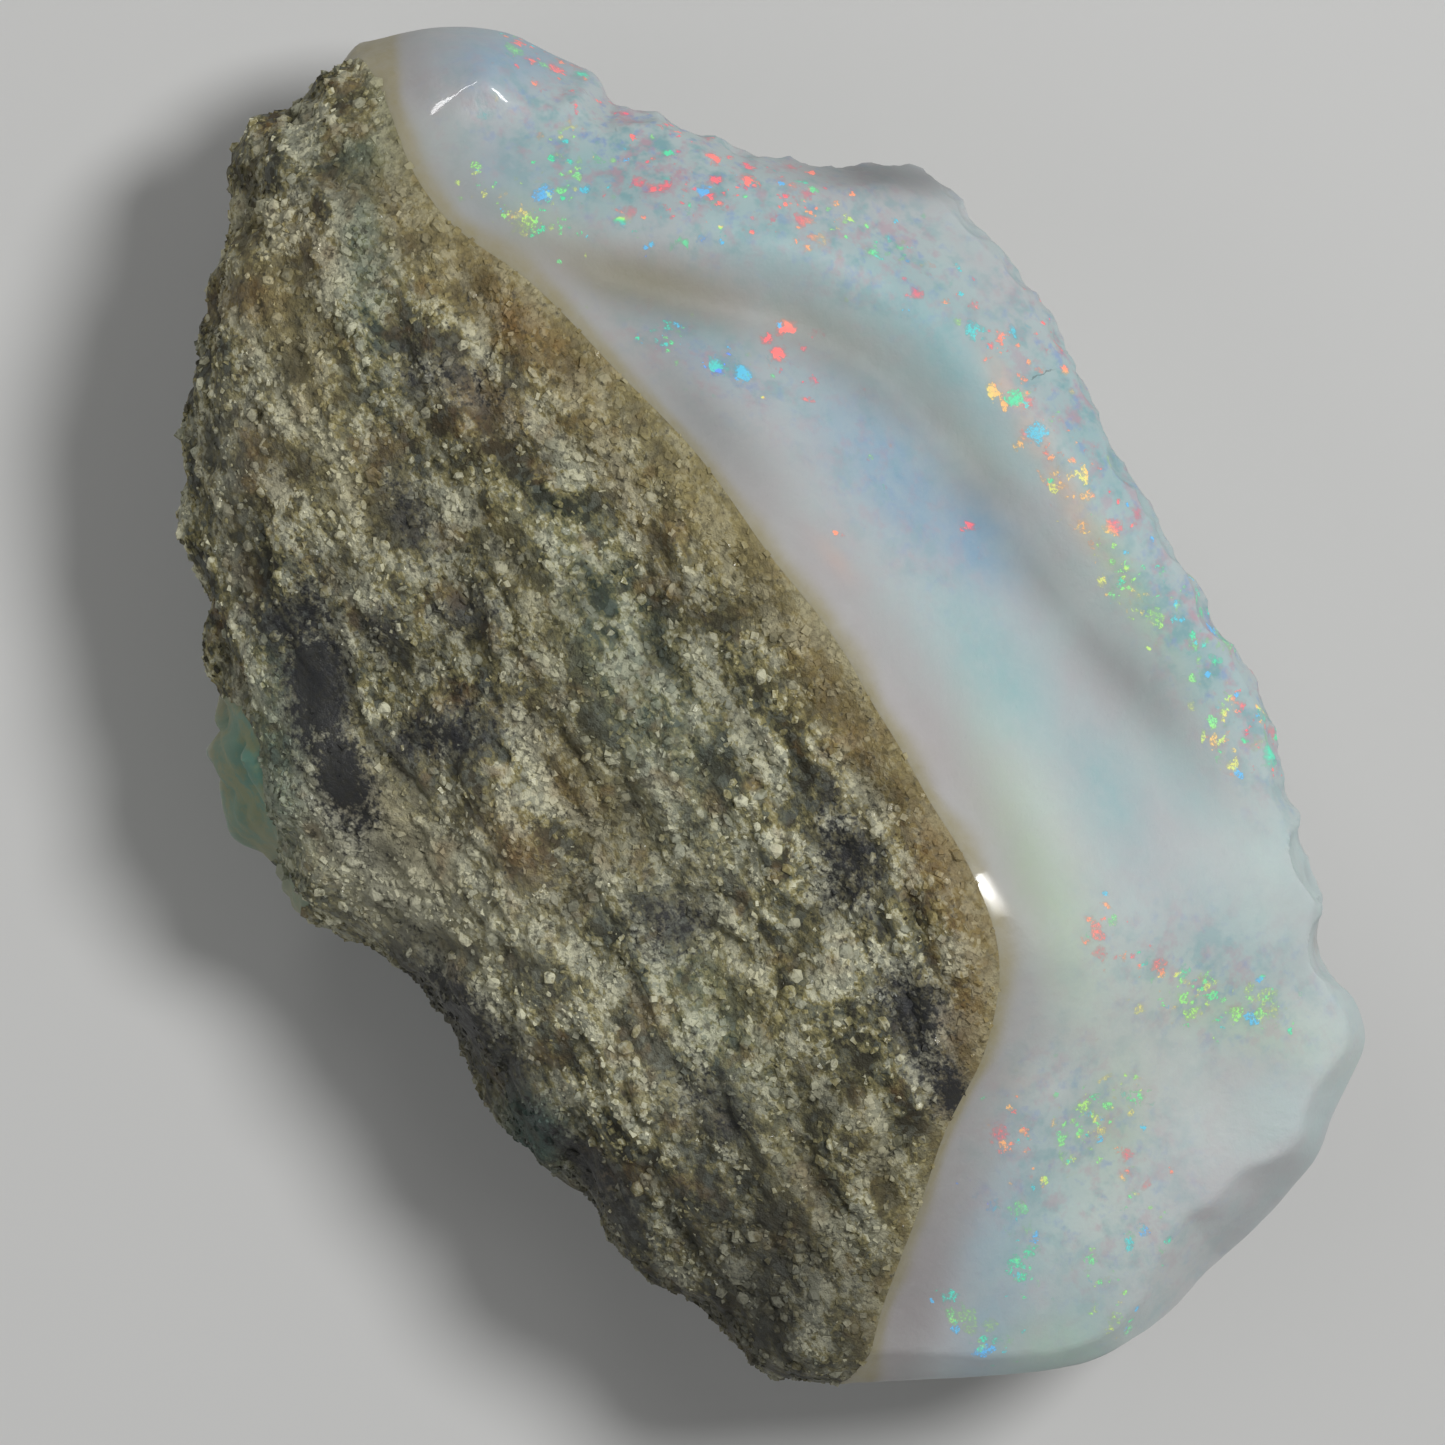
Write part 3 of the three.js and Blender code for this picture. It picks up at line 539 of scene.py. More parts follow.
class Paint:  # one material, its nodes, the colours it calls by name and the place in millimetres
    def __init__(self, name, colours):
        self.material = bpy.data.materials.new(name)
        self.material.use_nodes = True
        self.tree = self.material.node_tree
        self.shader = self.tree.nodes["Principled BSDF"]
        self.colours = colours
        self.place = self.scaled(self.make("TexCoord", {}, {}, "Object"), 1 / mm)

    def make(self, kind, settings={}, inputs={}, output=0):
        return Wire(self, addNode(self.tree, "ShaderNode" + kind, settings, inputs).outputs[output])

    def mix(self, factor, a, b):
        a, b = ((*self.colours[c], 1) if isinstance(c, str) else c for c in (a, b))
        return self.make("Mix", {"data_type": "RGBA"}, {0: factor, 6: a, 7: b}, 2)

    def laid(self, colour, *layers):  # each layer is how much of it shows and its colour
        for factor, name in layers:
            colour = self.mix(factor, colour, name)
        return colour

    def ramp(self, factor, stops):
        made = self.make("ValToRGB", {}, {"Fac": factor}, "Color")
        elements = made.socket.node.color_ramp.elements
        while len(elements) < len(stops):
            elements.new(0.5)
        for element, (place, name) in zip(elements, stops):
            element.position = place
            element.color = (*self.colours[name], 1)
        return made

    def vector(self, operation, a, b):
        return self.make("VectorMath", {"operation": operation}, {0: a, 1: b})

    def scaled(self, vector, factor):
        return self.make("VectorMath", {"operation": "SCALE"}, {0: vector, "Scale": factor})

    def mask(self, name):
        return self.make("Attribute", {"attribute_name": name}, {}, "Fac")

    def noise(self, scale, detail=2.0, roughness=0.5, output="Fac", stretch=None):
        place = self.place if stretch is None else self.vector("MULTIPLY", self.place, stretch)
        return self.make("TexNoise", {}, {"Vector": place, "Scale": scale, "Detail": detail,
                                          "Roughness": roughness}, output)

    def split(self, kind, value):  # a colour or a vector as its three numbers
        node = self.make("Separate" + kind, {}, {0: value}).socket.node
        return [Wire(self, socket) for socket in node.outputs]

    def cells(self, shift, scale):  # how far the nearest cell's middle is, and the cell's own three numbers
        bent = self.vector("ADD", self.place, shift)
        distance = self.make("TexVoronoi", {}, {"Vector": bent, "Scale": scale}, "Distance")
        return distance, self.split("Color", distance.socket.node.outputs["Color"])

    def bump(self, height, strength, depth):  # depth in millimetres
        return self.make("Bump", {}, {"Strength": strength, "Distance": depth * mm, "Height": height}, "Normal")

    def finish(self, **values):
        for name, value in values.items():
            words = "".join(" " + c if c.isupper() else c for c in name)
            plug(self.tree, self.shader.inputs[words[0].upper() + words[1:]], value)
        return self.material


def tints(**picked):  # colours given in hex, as the linear values of the nodes
    def linear(v):
        return ((v / 255 + 0.055) / 1.055) ** 2.4 if v > 10 else v / 3294.6
    return {name: tuple(linear(v) for v in bytes.fromhex(code)) for name, code in picked.items()}


# The opal: milky body, soft zones of colour and of painted shade, and specks of play of colour with a painted
# glow
opalLook = {
    "colours": tints(
        body="b8c6c6", pink="c0b4b8", blue="82a8c4", teal="8ababe", lime="b0d0a8", peach="e0b8a6",
        milk="d2dad4", beige="8e8a74", grey="a6a2a0", seam="9c9476", shade="646868", crack="464842",
        mosaicTeal="7aaab0", mosaicMauve="be9eaa", mosaicBlue="8ca4cc", noduleGreen="86906c",
        noduleTeal="648e7e", potch="bab8b2", darkPotch="7a8084", stain="847054", black="000000", red="fa5c74",
        coral="fc7074", orange="fca070", yellow="f4dc78", leaf="a8ec76", jade="48e0a0", cyan="54c4de",
        azure="6698f6", violet="a884f8"),
    "rainbow": [
        (0.0, "red"), (0.12, "coral"), (0.24, "orange"), (0.36, "yellow"), (0.46, "leaf"), (0.58, "jade"),
        (0.7, "cyan"), (0.82, "azure"), (0.93, "violet")],
    "tinted": [("pink", 0.8), ("blue", 0.8), ("teal", 0.75), ("lime", 0.7), ("peach", 0.6), ("milk", 0.7)],
    "mosaic": [("mosaicTeal", 1.5, 0.5), ("mosaicMauve", 1.9, 0.52), ("mosaicBlue", 2.6, 0.56)],
    "nodule": [(-12.9, -1.6, 2.9, 1.5, 1, 90), (-11.4, -4.7, 1.2, 1, 0.6, 0)],
    "crackEnds": [(6.4, 8.05, 0), (7.05, 8.35, 0)],
    "pink": [
        (-3, 10.4, 3.2, 1.1, 0.8, -20), (0.9, 3.5, 4.5, 0.9, 0.55, -55), (4.6, -1.6, 4, 0.9, 0.7, -60),
        (3.4, -14.4, 3.4, 1.2, 1, -110), (-8.4, 15.2, 2, 0.9, 0.7, -20), (2.4, 13, 2.2, 0.9, 0.6, -10),
        (7.6, -0.4, 4.2, 1, 0.5, -55), (9.8, -10.6, 2.6, 1.8, 0.3, -50), (10.8, -15, 3, 1, 0.6, -40)],
    "blue": [
        (5, 4.2, 1.6, 1.1, 1, -50), (3.2, 5.6, 3.4, 1.3, 0.8, -50), (-2.2, 9, 2.4, 0.6, 0.6, -35),
        (-7, 12.8, 1.4, 1, 0.7, -60), (-6.8, 16.1, 1.8, 0.8, 0.8, 0), (5.6, -13, 2.2, 0.9, 0.45, -110),
        (5.4, -15.7, 1.6, 0.9, 0.5, -110)],
    "teal": [
        (4.2, 9, 3.6, 1.1, 0.9, -48), (-4.4, 13, 2.4, 1.2, 0.7, -20), (8, 6.4, 3, 0.9, 0.7, -60),
        (5.6, 0.6, 2.6, 1.2, 0.8, -55), (12, -5.6, 2.4, 1.6, 0.5, -80), (8, -14.4, 2.6, 1.2, 0.5, -120),
        (10.2, 1.6, 2.8, 0.8, 0.8, -55), (-0.2, 11.6, 3, 1.2, 0.6, -20), (7, -12.4, 2.4, 1.4, 0.5, -120),
        (-1.6, 9.2, 1.6, 0.5, 0.6, -20), (8.2, -1.9, 2.2, 1, 0.7, -60), (-8.1, 13.8, 1.2, 0.9, 0.6, -60),
        (10.4, -2.2, 1.6, 0.9, 0.4, -60)],
    "peach": [
        (5.8, 7.9, 1, 0.32, 0.9, -60), (6.5, 6.7, 0.8, 0.38, 0.8, -60), (7.4, 5.1, 1.4, 0.34, 0.9, -62),
        (8.5, 3.4, 1.2, 0.3, 0.3, -60), (6, -9.4, 1, 0.4, 0.3, -20), (1.5, 3.6, 0.7, 0.25, 0.6, -50)],
    "lime": [
        (8.9, 2.9, 2.2, 0.4, 0.7, -58), (6.6, -4.6, 3.6, 1, 0.9, -68), (11.4, -7.8, 2.4, 0.8, 0.6, -20),
        (-6.2, 12.2, 1.4, 0.5, 0.5, -30), (8.6, -10.2, 2, 0.8, 0.6, -100), (7, -16, 1.6, 0.8, 0.4, 0)],
    "play": [  # where the body breaks up into a mosaic of tints
        (-3.2, 13.6, 5, 2, 1, -16), (2.2, 11.6, 3.4, 1.6, 0.8, -30), (7.6, 7.4, 4.6, 1.2, 0.9, -62),
        (10.8, 1.4, 4, 1.2, 1, -60), (-2, 8.6, 3.2, 1, 0.8, -25), (2.6, 5.6, 4, 1.4, 0.4, -55),
        (11, -7, 3, 1.6, 0.6, -20), (7.6, -11.6, 4, 2.6, 0.55, -60), (-7, 14.8, 2, 1.4, 0.5, 0)],
    "wideSeam": [(-6.4, 11, 1.6, 1.2, 0.3, -40)],  # how much wider the brown edge is there
    "paleBeds": [  # the step's trough, where its beige tint and painted shade are strongest
        (-3.6, 10.3, 3.4, 1.3, 1, -8), (-6.4, 10.9, 2, 1, 0.9, -12), (1, 9.2, 3.4, 1.2, 0.5, -24),
        (5.2, 6, 3, 1, 0.5, -50)],
    "milk": [
        (9.4, -8.7, 3.2, 1.8, 0.8, -45), (12.4, -5, 2.6, 1.4, 0.6, -70), (8.4, -13, 2.8, 1.8, 0.7, -45),
        (6.9, -9.4, 1.6, 0.9, 0.5, -60), (13.4, -7.7, 1.8, 1, 0.6, -60), (-8.1, 13.8, 1.2, 0.9, 0.5, -60),
        (6.6, -2.6, 2.6, 0.9, 0.35, -64)],
    # painted shade: the facet under the top rim, faces turned from the lamps, and a band along the step's trough
    "shade": [
        (2.8, 13.2, 2, 0.5, 0.7, -5), (12.2, -12.6, 2.6, 0.5, 0.15, -132), (-1.7, 7, 2.4, 0.7, 0.36, -50),
        (3.6, -14.4, 2.6, 0.9, 0.3, -110), (-2.1, 9.7, 2.2, 0.6, 0.2, -12), (2.6, 7.9, 2.4, 0.75, 0.3, -34),
        (5.2, 5.2, 1.9, 0.75, 0.32, -47), (6.9, 3.1, 2.4, 0.8, 0.46, -52), (8.7, 0.9, 3, 0.9, 0.54, -49)],
    "wet": [
        (-8.4, 15.2, 1.8, 0.9, 1, 0), (5.18, -4.5, 0.66, 0.17, 1, -54), (-4.1, 8.3, 0.5, 0.3, 0.5, 0),
        (12.7, -10.8, 0.5, 0.4, 0.8, 0), (8.9, -16, 0.5, 0.4, 0.8, 0), (10.2, 9.4, 0.6, 0.4, 0.4, 0)],
    "flecks": [  # with the hue from 0 red to 1 violet, and how fine the specks are
        (-3, 14.2, 2.2, 0.9, 1, -14, 0.04, 0), (-2.2, 12.6, 2.6, 1.2, 0.9, -16, 0.06, 0.1),
        (-0.6, 12.8, 1.6, 1, 1, -20, 0.05, 0), (0.9, 12.4, 1.4, 1, 1, -20, 0.08, 0.2),
        (-5.2, 13.2, 0.8, 1.2, 1, -20, 0.48, 0.6), (-6.4, 12.3, 1.6, 0.5, 1, -35, 0.4, 1),
        (-5.4, 11.8, 1.2, 0.6, 0.8, -30, 0.6, 0.8), (-3.4, 11.6, 1, 0.5, 0.8, -20, 0.74, 0.2),
        (-1.4, 11.5, 1.2, 0.5, 0.9, -16, 0.9, 0.2), (1.4, 12, 1.2, 0.8, 0.8, -20, 0.56, 0.6),
        (3, 11.5, 0.8, 0.5, 0.8, -20, 0.58, 0.5), (-5.8, 15.9, 1.4, 0.6, 0.6, -30, 0.1, 0.5),
        (-2.6, 9, 1.4, 0.5, 0.9, -20, 0.58, 0.6), (-1.1, 8.4, 0.9, 0.6, 0.9, -30, 0.74, 0.3),
        (0.6, 8.4, 1.4, 0.9, 0.9, -20, 0.04, 0.1), (1.8, 6.6, 2.4, 0.9, 0.35, -50, 0.06, 0.2),
        (3.3, 10.3, 0.6, 0.5, 1, -40, 0.06, 0), (5.4, 9.2, 2, 0.6, 0.7, -55, 0.12, 0.5),
        (6.9, 9.4, 1, 0.5, 0.8, -62, 0.05, 0.1), (6.6, 7, 1.8, 0.7, 1, -62, 0.2, 0.7),
        (7.4, 5.4, 1.5, 0.6, 1, -66, 0.32, 1), (8.5, 5.2, 1.2, 0.6, 0.7, -62, 0.06, 0.3),
        (8.9, 2.8, 1.3, 0.6, 1, -60, 0.42, 1), (10.2, 2.6, 1.8, 0.7, 0.6, -60, 0.6, 0.7),
        (11, 1.5, 1.2, 0.6, 1, -62, 0.58, 0.5), (11.2, -0.2, 1.2, 0.5, 1, -62, 0.44, 0.9),
        (12.2, -0.4, 1.4, 0.6, 0.9, -60, 0.02, 0.2), (12.6, -1.4, 0.8, 0.4, 0.9, -60, 0.08, 0.4),
        (4.8, 4.1, 0.9, 0.4, 0.7, -20, 0.03, 0.2), (1.6, 4.1, 0.9, 0.6, 0.5, -60, 0.12, 0.2),
        (11.9, -0.5, 1.3, 0.5, 1.8, -62, 0.03, 0.2), (11.2, 0.2, 0.7, 0.4, 1.8, -50, 0.5, 0.4),
        (12.2, -0.3, 0.5, 0.3, 1.6, -60, 0.48, 0.4), (11.3, -1.2, 0.6, 0.35, 1.6, -60, 0.32, 0.8),
        (10.8, -7.5, 1.8, 0.7, 1, -12, 0.46, 1), (12.3, -7.6, 1.2, 0.6, 0.9, -12, 0.5, 1),
        (9.2, -6.6, 1.6, 0.8, 0.5, -40, 0.1, 0.6), (8.4, -5.8, 1.2, 0.8, 0.6, -60, 0.16, 0.8),
        (7.9, -10.6, 1.7, 0.7, 1, 40, 0.44, 1), (6.1, -10.9, 1.3, 0.8, 0.8, -70, 0.18, 0.9),
        (9.2, -11.6, 1.3, 0.8, 0.5, -60, 0.1, 0.7), (6.2, -13.8, 1.6, 0.6, 0.9, -85, 0.58, 0.9),
        (8.4, -14.9, 1.4, 0.6, 0.7, -60, 0.46, 1), (9.2, -12.9, 1.4, 0.8, 0.5, -60, 0.62, 0.9),
        (5, -12.4, 0.7, 0.7, 0.7, -90, 0.84, 0.4), (4.8, -15.4, 1.6, 0.5, 0.8, -40, 0.56, 1)],
}


def opalMasks(piece):
    x, y, z = coordinates(piece)
    out = besideRidge(x, y)[0]
    away = np.maximum(out, 0)
    top = surface(x, y, False)
    upper = smoothStep((z - top + 1.6) / 1.2)  # 1 on the upper face, 0 on walls and underside
    deep = smoothStep((z - top + 2.6) / 1.6)
    soft = zones(x, y, opalLook, "pink", "blue", "teal", "lime", "peach", "milk", "shade", "wet")
    beyond, share, _ = besideStep(x, y)
    # the step's trough: the opal's own beige tint together with painted shade, as the trough is a shaded
    # concavity
    trough = np.exp(-((beyond - 0.7) ** 2)) * share * smoothStep(out / 1.2)
    pale = np.maximum(spots(x, y, opalLook["paleBeds"]), 0.3)
    blurred = 0.24 + 0.16 * noise(x / 1.1, y / 1.1, z / 1.1) + spots(x, y, opalLook["wideSeam"])
    flecks, fine, hue, weight = (np.full(len(x), v) for v in (0.0, 0.001, 0.0009, 0.002))
    for *place, tint, fineness in opalLook["flecks"]:
        here = lump(x, y, *place)
        flecks = np.maximum(flecks, here)
        fine += here ** 3 * fineness
        hue += here ** 3 * tint
        weight += here ** 3
    store(piece, {
        **{name: mask * upper for name, mask in soft.items()}, "upper": upper,
        "beige": trough * pale * smoothStep(share * 4) * upper,
        "seam": np.exp(-((away / blurred) ** 2)) * upper, "grey": np.exp(-((away / 1.7) ** 2)) * upper,
        "flecks": np.maximum(flecks * 1.15 - 0.15, 0) * deep, "fine": fine / weight, "hue": hue / weight,
        "play": spots(x, y, opalLook["play"]) * deep,
        "nodule": spots(x, y, opalLook["nodule"]) * smoothStep(-out / 4)})


# Bits of play of colour, whole or dusty: how bright they are, and their hue
def specks(paint, dust, fine, scale, density, glare):
    warp = paint.scaled(paint.noise(scale * 2.2, 2, 0.7, "Color"), 1.0 / scale)
    distance, (chance, kind, size) = paint.cells(warp, scale)
    wide = 0.3 + size * 0.3
    core = 1 - distance.between(wide * 0.35, wide * 1.3)
    dusty = dust * core.between(0.0, 0.5)
    haze = (1 - distance.between(0.0, 0.75)) * 0.22
    lit = (chance + density).between(1.0, 1.04)
    stray = size.between(0.82, 0.84)
    hue = paint.mask("hue") + (kind - 0.5) * 0.22
    bright = lit * (core * (1 - fine) + dusty * fine + haze) * (0.3 + kind * 0.7) * glare
    return bright.least(1.0), hue * (1 - stray) + stray * (0.4 + kind * 0.36)


def crackMask(paint):  # a hairline across the bar
    start, end = toFrame(np.array(opalLook["crackEnds"])) / mm
    along = (end - start) / np.linalg.norm(end - start)
    x, y, _ = paint.split("XYZ", paint.place)
    walked = (x - start[0]) * along[0] + (y - start[1]) * along[1]
    beside = (y - start[1]) * along[0] - (x - start[0]) * along[1] + (paint.noise(5.0) - 0.5) * 0.25
    inside = walked.between(0.0, 0.1) * (1 - walked.between(0.55, 0.75))
    return inside * (1 - beside.size().between(0.01, 0.03))


def opalMaterial():
    paint = Paint("opal", opalLook["colours"])
    cloud, wisps = paint.noise(0.5, 4, 0.6), paint.noise(1.6, 4, 0.65)
    colour = paint.mix(cloud.between(0.35, 0.7) * 0.45, "body", "pink")
    for name, strength in opalLook["tinted"]:
        soft = (paint.mask(name) * strength * (0.4 + wisps * 1.2)).least(1.0)
        colour = paint.mix(soft, colour, name)
    # the mosaic: soft patches of teal, mauve and blue, each about half a millimetre wide
    play = paint.mask("play")
    for name, scale, low in opalLook["mosaic"]:
        patch = paint.noise(scale, 3, 0.6).between(low - 0.04, low + 0.18)
        colour = paint.mix(patch * play * 0.85, colour, name)
    # the walls and the underside have bands of potch that run with the seam, and a brown skin in patches
    upper, nodule = paint.mask("upper"), paint.mask("nodule")
    under = 1 - upper
    band = paint.noise(1.0, 3, 0.55, stretch=(0.1, 0.22, 1.3))
    skin = under * cloud.between(0.5, 0.62) * wisps.between(0.42, 0.62)
    # laid in turn: grey by the seam, the trough's tint with its painted shade, the brown seam, painted shade from
    # the shade spots, then the walls' potch and skin, and the nodules
    colour = paint.laid(
        colour, (paint.mask("grey") * 0.75, "grey"), (paint.mask("beige") * 0.95, "beige"),
        ((paint.mask("seam") * (0.45 + wisps * 0.8)).least(1.0), "seam"), (paint.mask("shade"), "shade"),
        (under * band.between(0.47, 0.53) * 0.75, "potch"),
        (under * (1 - band.between(0.36, 0.44)) * 0.6, "darkPotch"), (skin * 0.6, "stain"),
        (nodule, paint.mix(wisps.between(0.4, 0.6), "noduleGreen", "noduleTeal")))
    # the specks: soft red patches half a millimetre wide, smaller bits, and dust gathered in clusters
    cluster = paint.noise(0.9, 2, 0.6).between(0.36, 0.6)
    knots = paint.noise(2.0, 3, 0.7).between(0.44, 0.6)
    flecks, fine = paint.mask("flecks"), paint.mask("fine")
    dust = paint.noise(13.0, 3, 0.75).between(0.42, 0.66) * 1.2 + 0.22
    glow, amount, clear = "black", 0.0, 1 - nodule
    for scale, density, glare in (
            (2.0, flecks * (0.33 + fine * 0.45) * (0.35 + cluster), 1.25),
            (3.4, flecks * (0.18 + fine * 0.45) * knots + play * 0.04, 1.35),
            (6.0, flecks * (0.15 + fine * 0.3) * knots + play * 0.05, 1.5)):
        bright, hue = specks(paint, dust, fine, scale, density, glare)
        bright = bright * clear
        glow = paint.mix(bright, glow, paint.ramp(hue, opalLook["rainbow"]))
        amount = bright.most(amount)
    colour = paint.mix(amount * 0.8, colour, glow)
    colour = paint.mix(crackMask(paint) * upper * 0.45, colour, "crack")
    wet = paint.mask("wet")
    rough = 0.5 + wisps * 0.12 - wet * 0.2 + under * 0.1
    normal = paint.bump(paint.noise(2.2, 4, 0.6) * (0.75 + wet * 0.3), 0.35, 0.1)
    # the specks' colours are emitted as well: a painted glow that lights them without a lamp
    paint.shader.inputs["IOR"].default_value = 1.45
    return paint.finish(baseColor=colour, roughness=rough, normal=normal, subsurfaceWeight=0.35,
                        subsurfaceScale=0.001, subsurfaceRadius=(1.0, 0.95, 1.1), coatWeight=wet,
                        coatRoughness=0.06, emissionColor=glow, emissionStrength=0.3)


# The sandstone: cemented sand, with grains that stand half out of it
sandLook = {
    "colours": tints(
        cement="666446", gap="323021", buff="9d9463", pale="dcdabc", glass="6c736a", rust="866432",
        potch="1d1f23", green="54766c", dark="3a3a34", chalk="bebca4", brown="94885e", smoky="606162",
        ochre="a2915c"),
    "tinted": [("chalk", 0.6), ("ochre", 0.6), ("rust", 0.65), ("green", 0.6)],
    "cementStops": [(0.0, "gap"), (0.22, "cement"), (0.52, "buff"), (0.85, "pale")],
    "grainStops": [(0.0, "gap"), (0.16, "cement"), (0.45, "buff"), (0.8, "pale")],
    "potch": [
        (-12, 1.9, 1, 0.6, 0.85, -20), (-11.4, 0.3, 2.3, 0.72, 1.3, -86), (-10.9, -1.7, 1.7, 0.66, 1.3, -66),
        (-8.2, -0.7, 1.7, 0.85, 0.62, 8), (-7.7, 2.3, 0.9, 0.6, 0.5, 0), (-9.7, 1.9, 0.9, 0.5, 0.4, -60),
        (-2.6, -5.4, 1, 1.2, 0.6, -40), (1.8, -3.9, 2, 0.9, 0.66, -70), (3.6, -8, 2.1, 0.8, 0.7, -72),
        (4.4, -9.6, 0.9, 0.5, 1, -60), (-8, 8.2, 1.8, 0.9, 0.45, -30), (-7.6, -7.8, 2.2, 0.6, 0.8, -50),
        (-1.4, -10, 1.4, 0.9, 0.4, -50), (-4.6, -11.6, 2.6, 0.5, 0.6, -50), (-9.2, 4.9, 1.6, 0.6, 0.4, -64)],
    "ochre": [
        (-12.2, 9.6, 3.6, 0.9, 0.9, -66), (-8.2, 11, 2.4, 1, 0.9, -50), (-4.8, 7.4, 3.4, 0.9, 0.8, -52),
        (-10.6, 5.6, 2.4, 0.9, 0.6, -60), (-1.4, 4.2, 3.8, 0.9, 1, -56), (1.4, 0, 2.6, 0.9, 0.8, -58),
        (-6, 2.6, 3.2, 0.7, 0.6, -62), (-9.8, -2.6, 2.6, 0.9, 0.6, -50), (-4.4, -2.2, 2.8, 0.8, 0.6, -62),
        (-0.6, -7.4, 2.6, 0.8, 0.5, -62), (0.4, -11.6, 3, 0.9, 0.5, -70), (2.6, -11.6, 1.8, 0.6, 0.7, -70)],
    "rust": [
        (-6.2, 9.4, 2.4, 0.8, 0.9, -48), (4.5, -4.2, 3.4, 0.9, 1, -62), (4.9, -7.8, 2.6, 0.8, 1, -95),
        (-7.2, 7.4, 1.3, 0.8, 0.9, -40), (-6.3, -3.6, 1.4, 0.7, 0.7, -50), (-13.4, 10, 1, 0.6, 0.6, 0),
        (1.6, 0.2, 2.4, 0.6, 0.7, -58), (-5, -11.2, 0.4, 0.3, 0.8, 0), (-4.2, -11.9, 0.3, 0.3, 0.8, 0),
        (-12.6, 6, 1.4, 0.6, 0.5, -70), (-10, 13, 1.8, 0.9, 0.6, -60), (-5.2, -2, 2.2, 0.5, 0.5, -62),
        (-3.4, 4.6, 2.6, 0.5, 0.5, -62), (-11.4, 11.4, 1.2, 0.8, 0.5, -60)],
    "green": [
        (-10.1, 13.7, 1.2, 0.8, 0.9, 0), (-10.2, 11.6, 2.4, 0.6, 0.8, -86), (-9.4, 14.8, 1.8, 0.6, 0.9, -80),
        (-5.9, -10.7, 0.9, 0.6, 2.4, -50), (-12.4, -1.6, 2.6, 0.8, 0.9, -90), (-3.6, 0.8, 4, 1.6, 0.5, -64),
        (-1.6, -7.6, 4, 1.2, 0.4, -62)],
    # pale chalky patches; the strong spot on the left side is painted light on a face that slopes away from the
    # lamps
    "chalk": [
        (-3.2, -8.8, 2.8, 1.2, 0.4, -55), (-7, -5, 3, 1.8, 0.6, -50), (-2.4, -2.8, 3.4, 1.4, 0.45, -62),
        (-12.2, 8.4, 2.4, 1, 0.5, -76), (-9.6, -3.4, 1.8, 1.2, 0.8, -50), (-10.6, 4.4, 2.6, 0.8, 0.3, -70),
        (1, 2.6, 3.4, 0.6, 0.4, -56), (-3, 6, 2.6, 0.8, 0.3, -50), (-8.6, 11.6, 2, 0.8, 0.3, -60),
        (-9.8, -3.8, 3, 1.5, 1.9, -46), (-13.6, 6.6, 1.6, 0.7, 0.5, -80)],
    # spots painted darker, as shade
    "dim": [
        (-0.2, -14.4, 3.6, 3, 1.3, -50), (1.6, -11, 2.6, 1.6, 0.5, -60), (-8.1, 3.8, 3.4, 1.3, 0.5, -64),
        (-4.3, -1.8, 4, 1.2, 0.4, -64), (-11.8, 13.1, 1.8, 1.1, 0.5, -40), (-13.4, 6, 5, 0.9, 0.4, -84)],
}
grainLook = {
    "coarse": {
        "shape": "MeshIcoSphere", "spacing": 0.32, "size": 0.185, "seed": 3, "density": 12, "palest": 0.45},
    "fine": {
        "shape": "MeshCube", "spacing": 0.14, "size": 0.145, "seed": 8, "density": 62, "palest": 0},
}
strewing = {
    "bulk": (0.35, 1.1), "stretch": (0.55, 1.45), "sink": 0.35,  # sink is a share of the grain's size
    "bulkSeed": 29, "turnSeed": 5, "toneSeed": 17}


def sandMasks(piece):
    x, y, z = coordinates(piece)
    out, far = besideRidge(x, y)[0], nearestRim(x, y)[1]
    top, under = surface(x, y, False), surface(x, y, True)
    ragged = 0.5 * noise(x / 0.9, y / 0.9, z / 0.9) + 0.3 * noise(x / 0.4, y / 0.4, z / 0.4)
    patch = spots(x, y, sandLook["potch"]) * (1.0 + ragged)
    potch = smoothStep((patch - 0.3) / 0.6)
    bare = noise(x / 0.7, y / 0.7, z / 0.7 + 3) + 0.7 * noise(x / 0.33, y / 0.33, z / 0.33)
    bare = smoothStep((bare + 0.05) / 0.4) * smoothStep(-out / 1.2)  # where sand has fallen out
    outer = np.minimum(np.abs(z - top), np.abs(z - under)) < 0.9
    strewn = (1 - 0.85 * potch) * (1 - 0.8 * bare) * (0.3 + 0.7 * smoothStep(-out))
    # painted shade: darker close to the rim towards the stone's bottom end, at the dim spots, and on the walls
    # and underside
    lower = np.exp(-((far / 1.1) ** 2)) * smoothStep((-y - 4) / 4)
    lower = np.maximum(lower, spots(x, y, sandLook["dim"]))
    upper = smoothStep((z - top + 1.6) / 1.2)
    store(piece, {
        **zones(x, y, sandLook, "rust", "green", "chalk", "ochre"), "potch": patch, "bare": bare,
        "halo": smoothStep(patch / 0.5),
        # painted shade: darker in the furrows, where the relief is low
        "hollow": smoothStep(0.1 - furrowed(x, y, z) / 0.3), "cover": (outer | (far < 0.6)) * strewn,
        "dim": np.maximum(lower, 0.8 * smoothStep((top - z - 0.6) / 2)),
        "border": np.exp(-((np.minimum(out, 0) / 0.85) ** 2)) * upper})


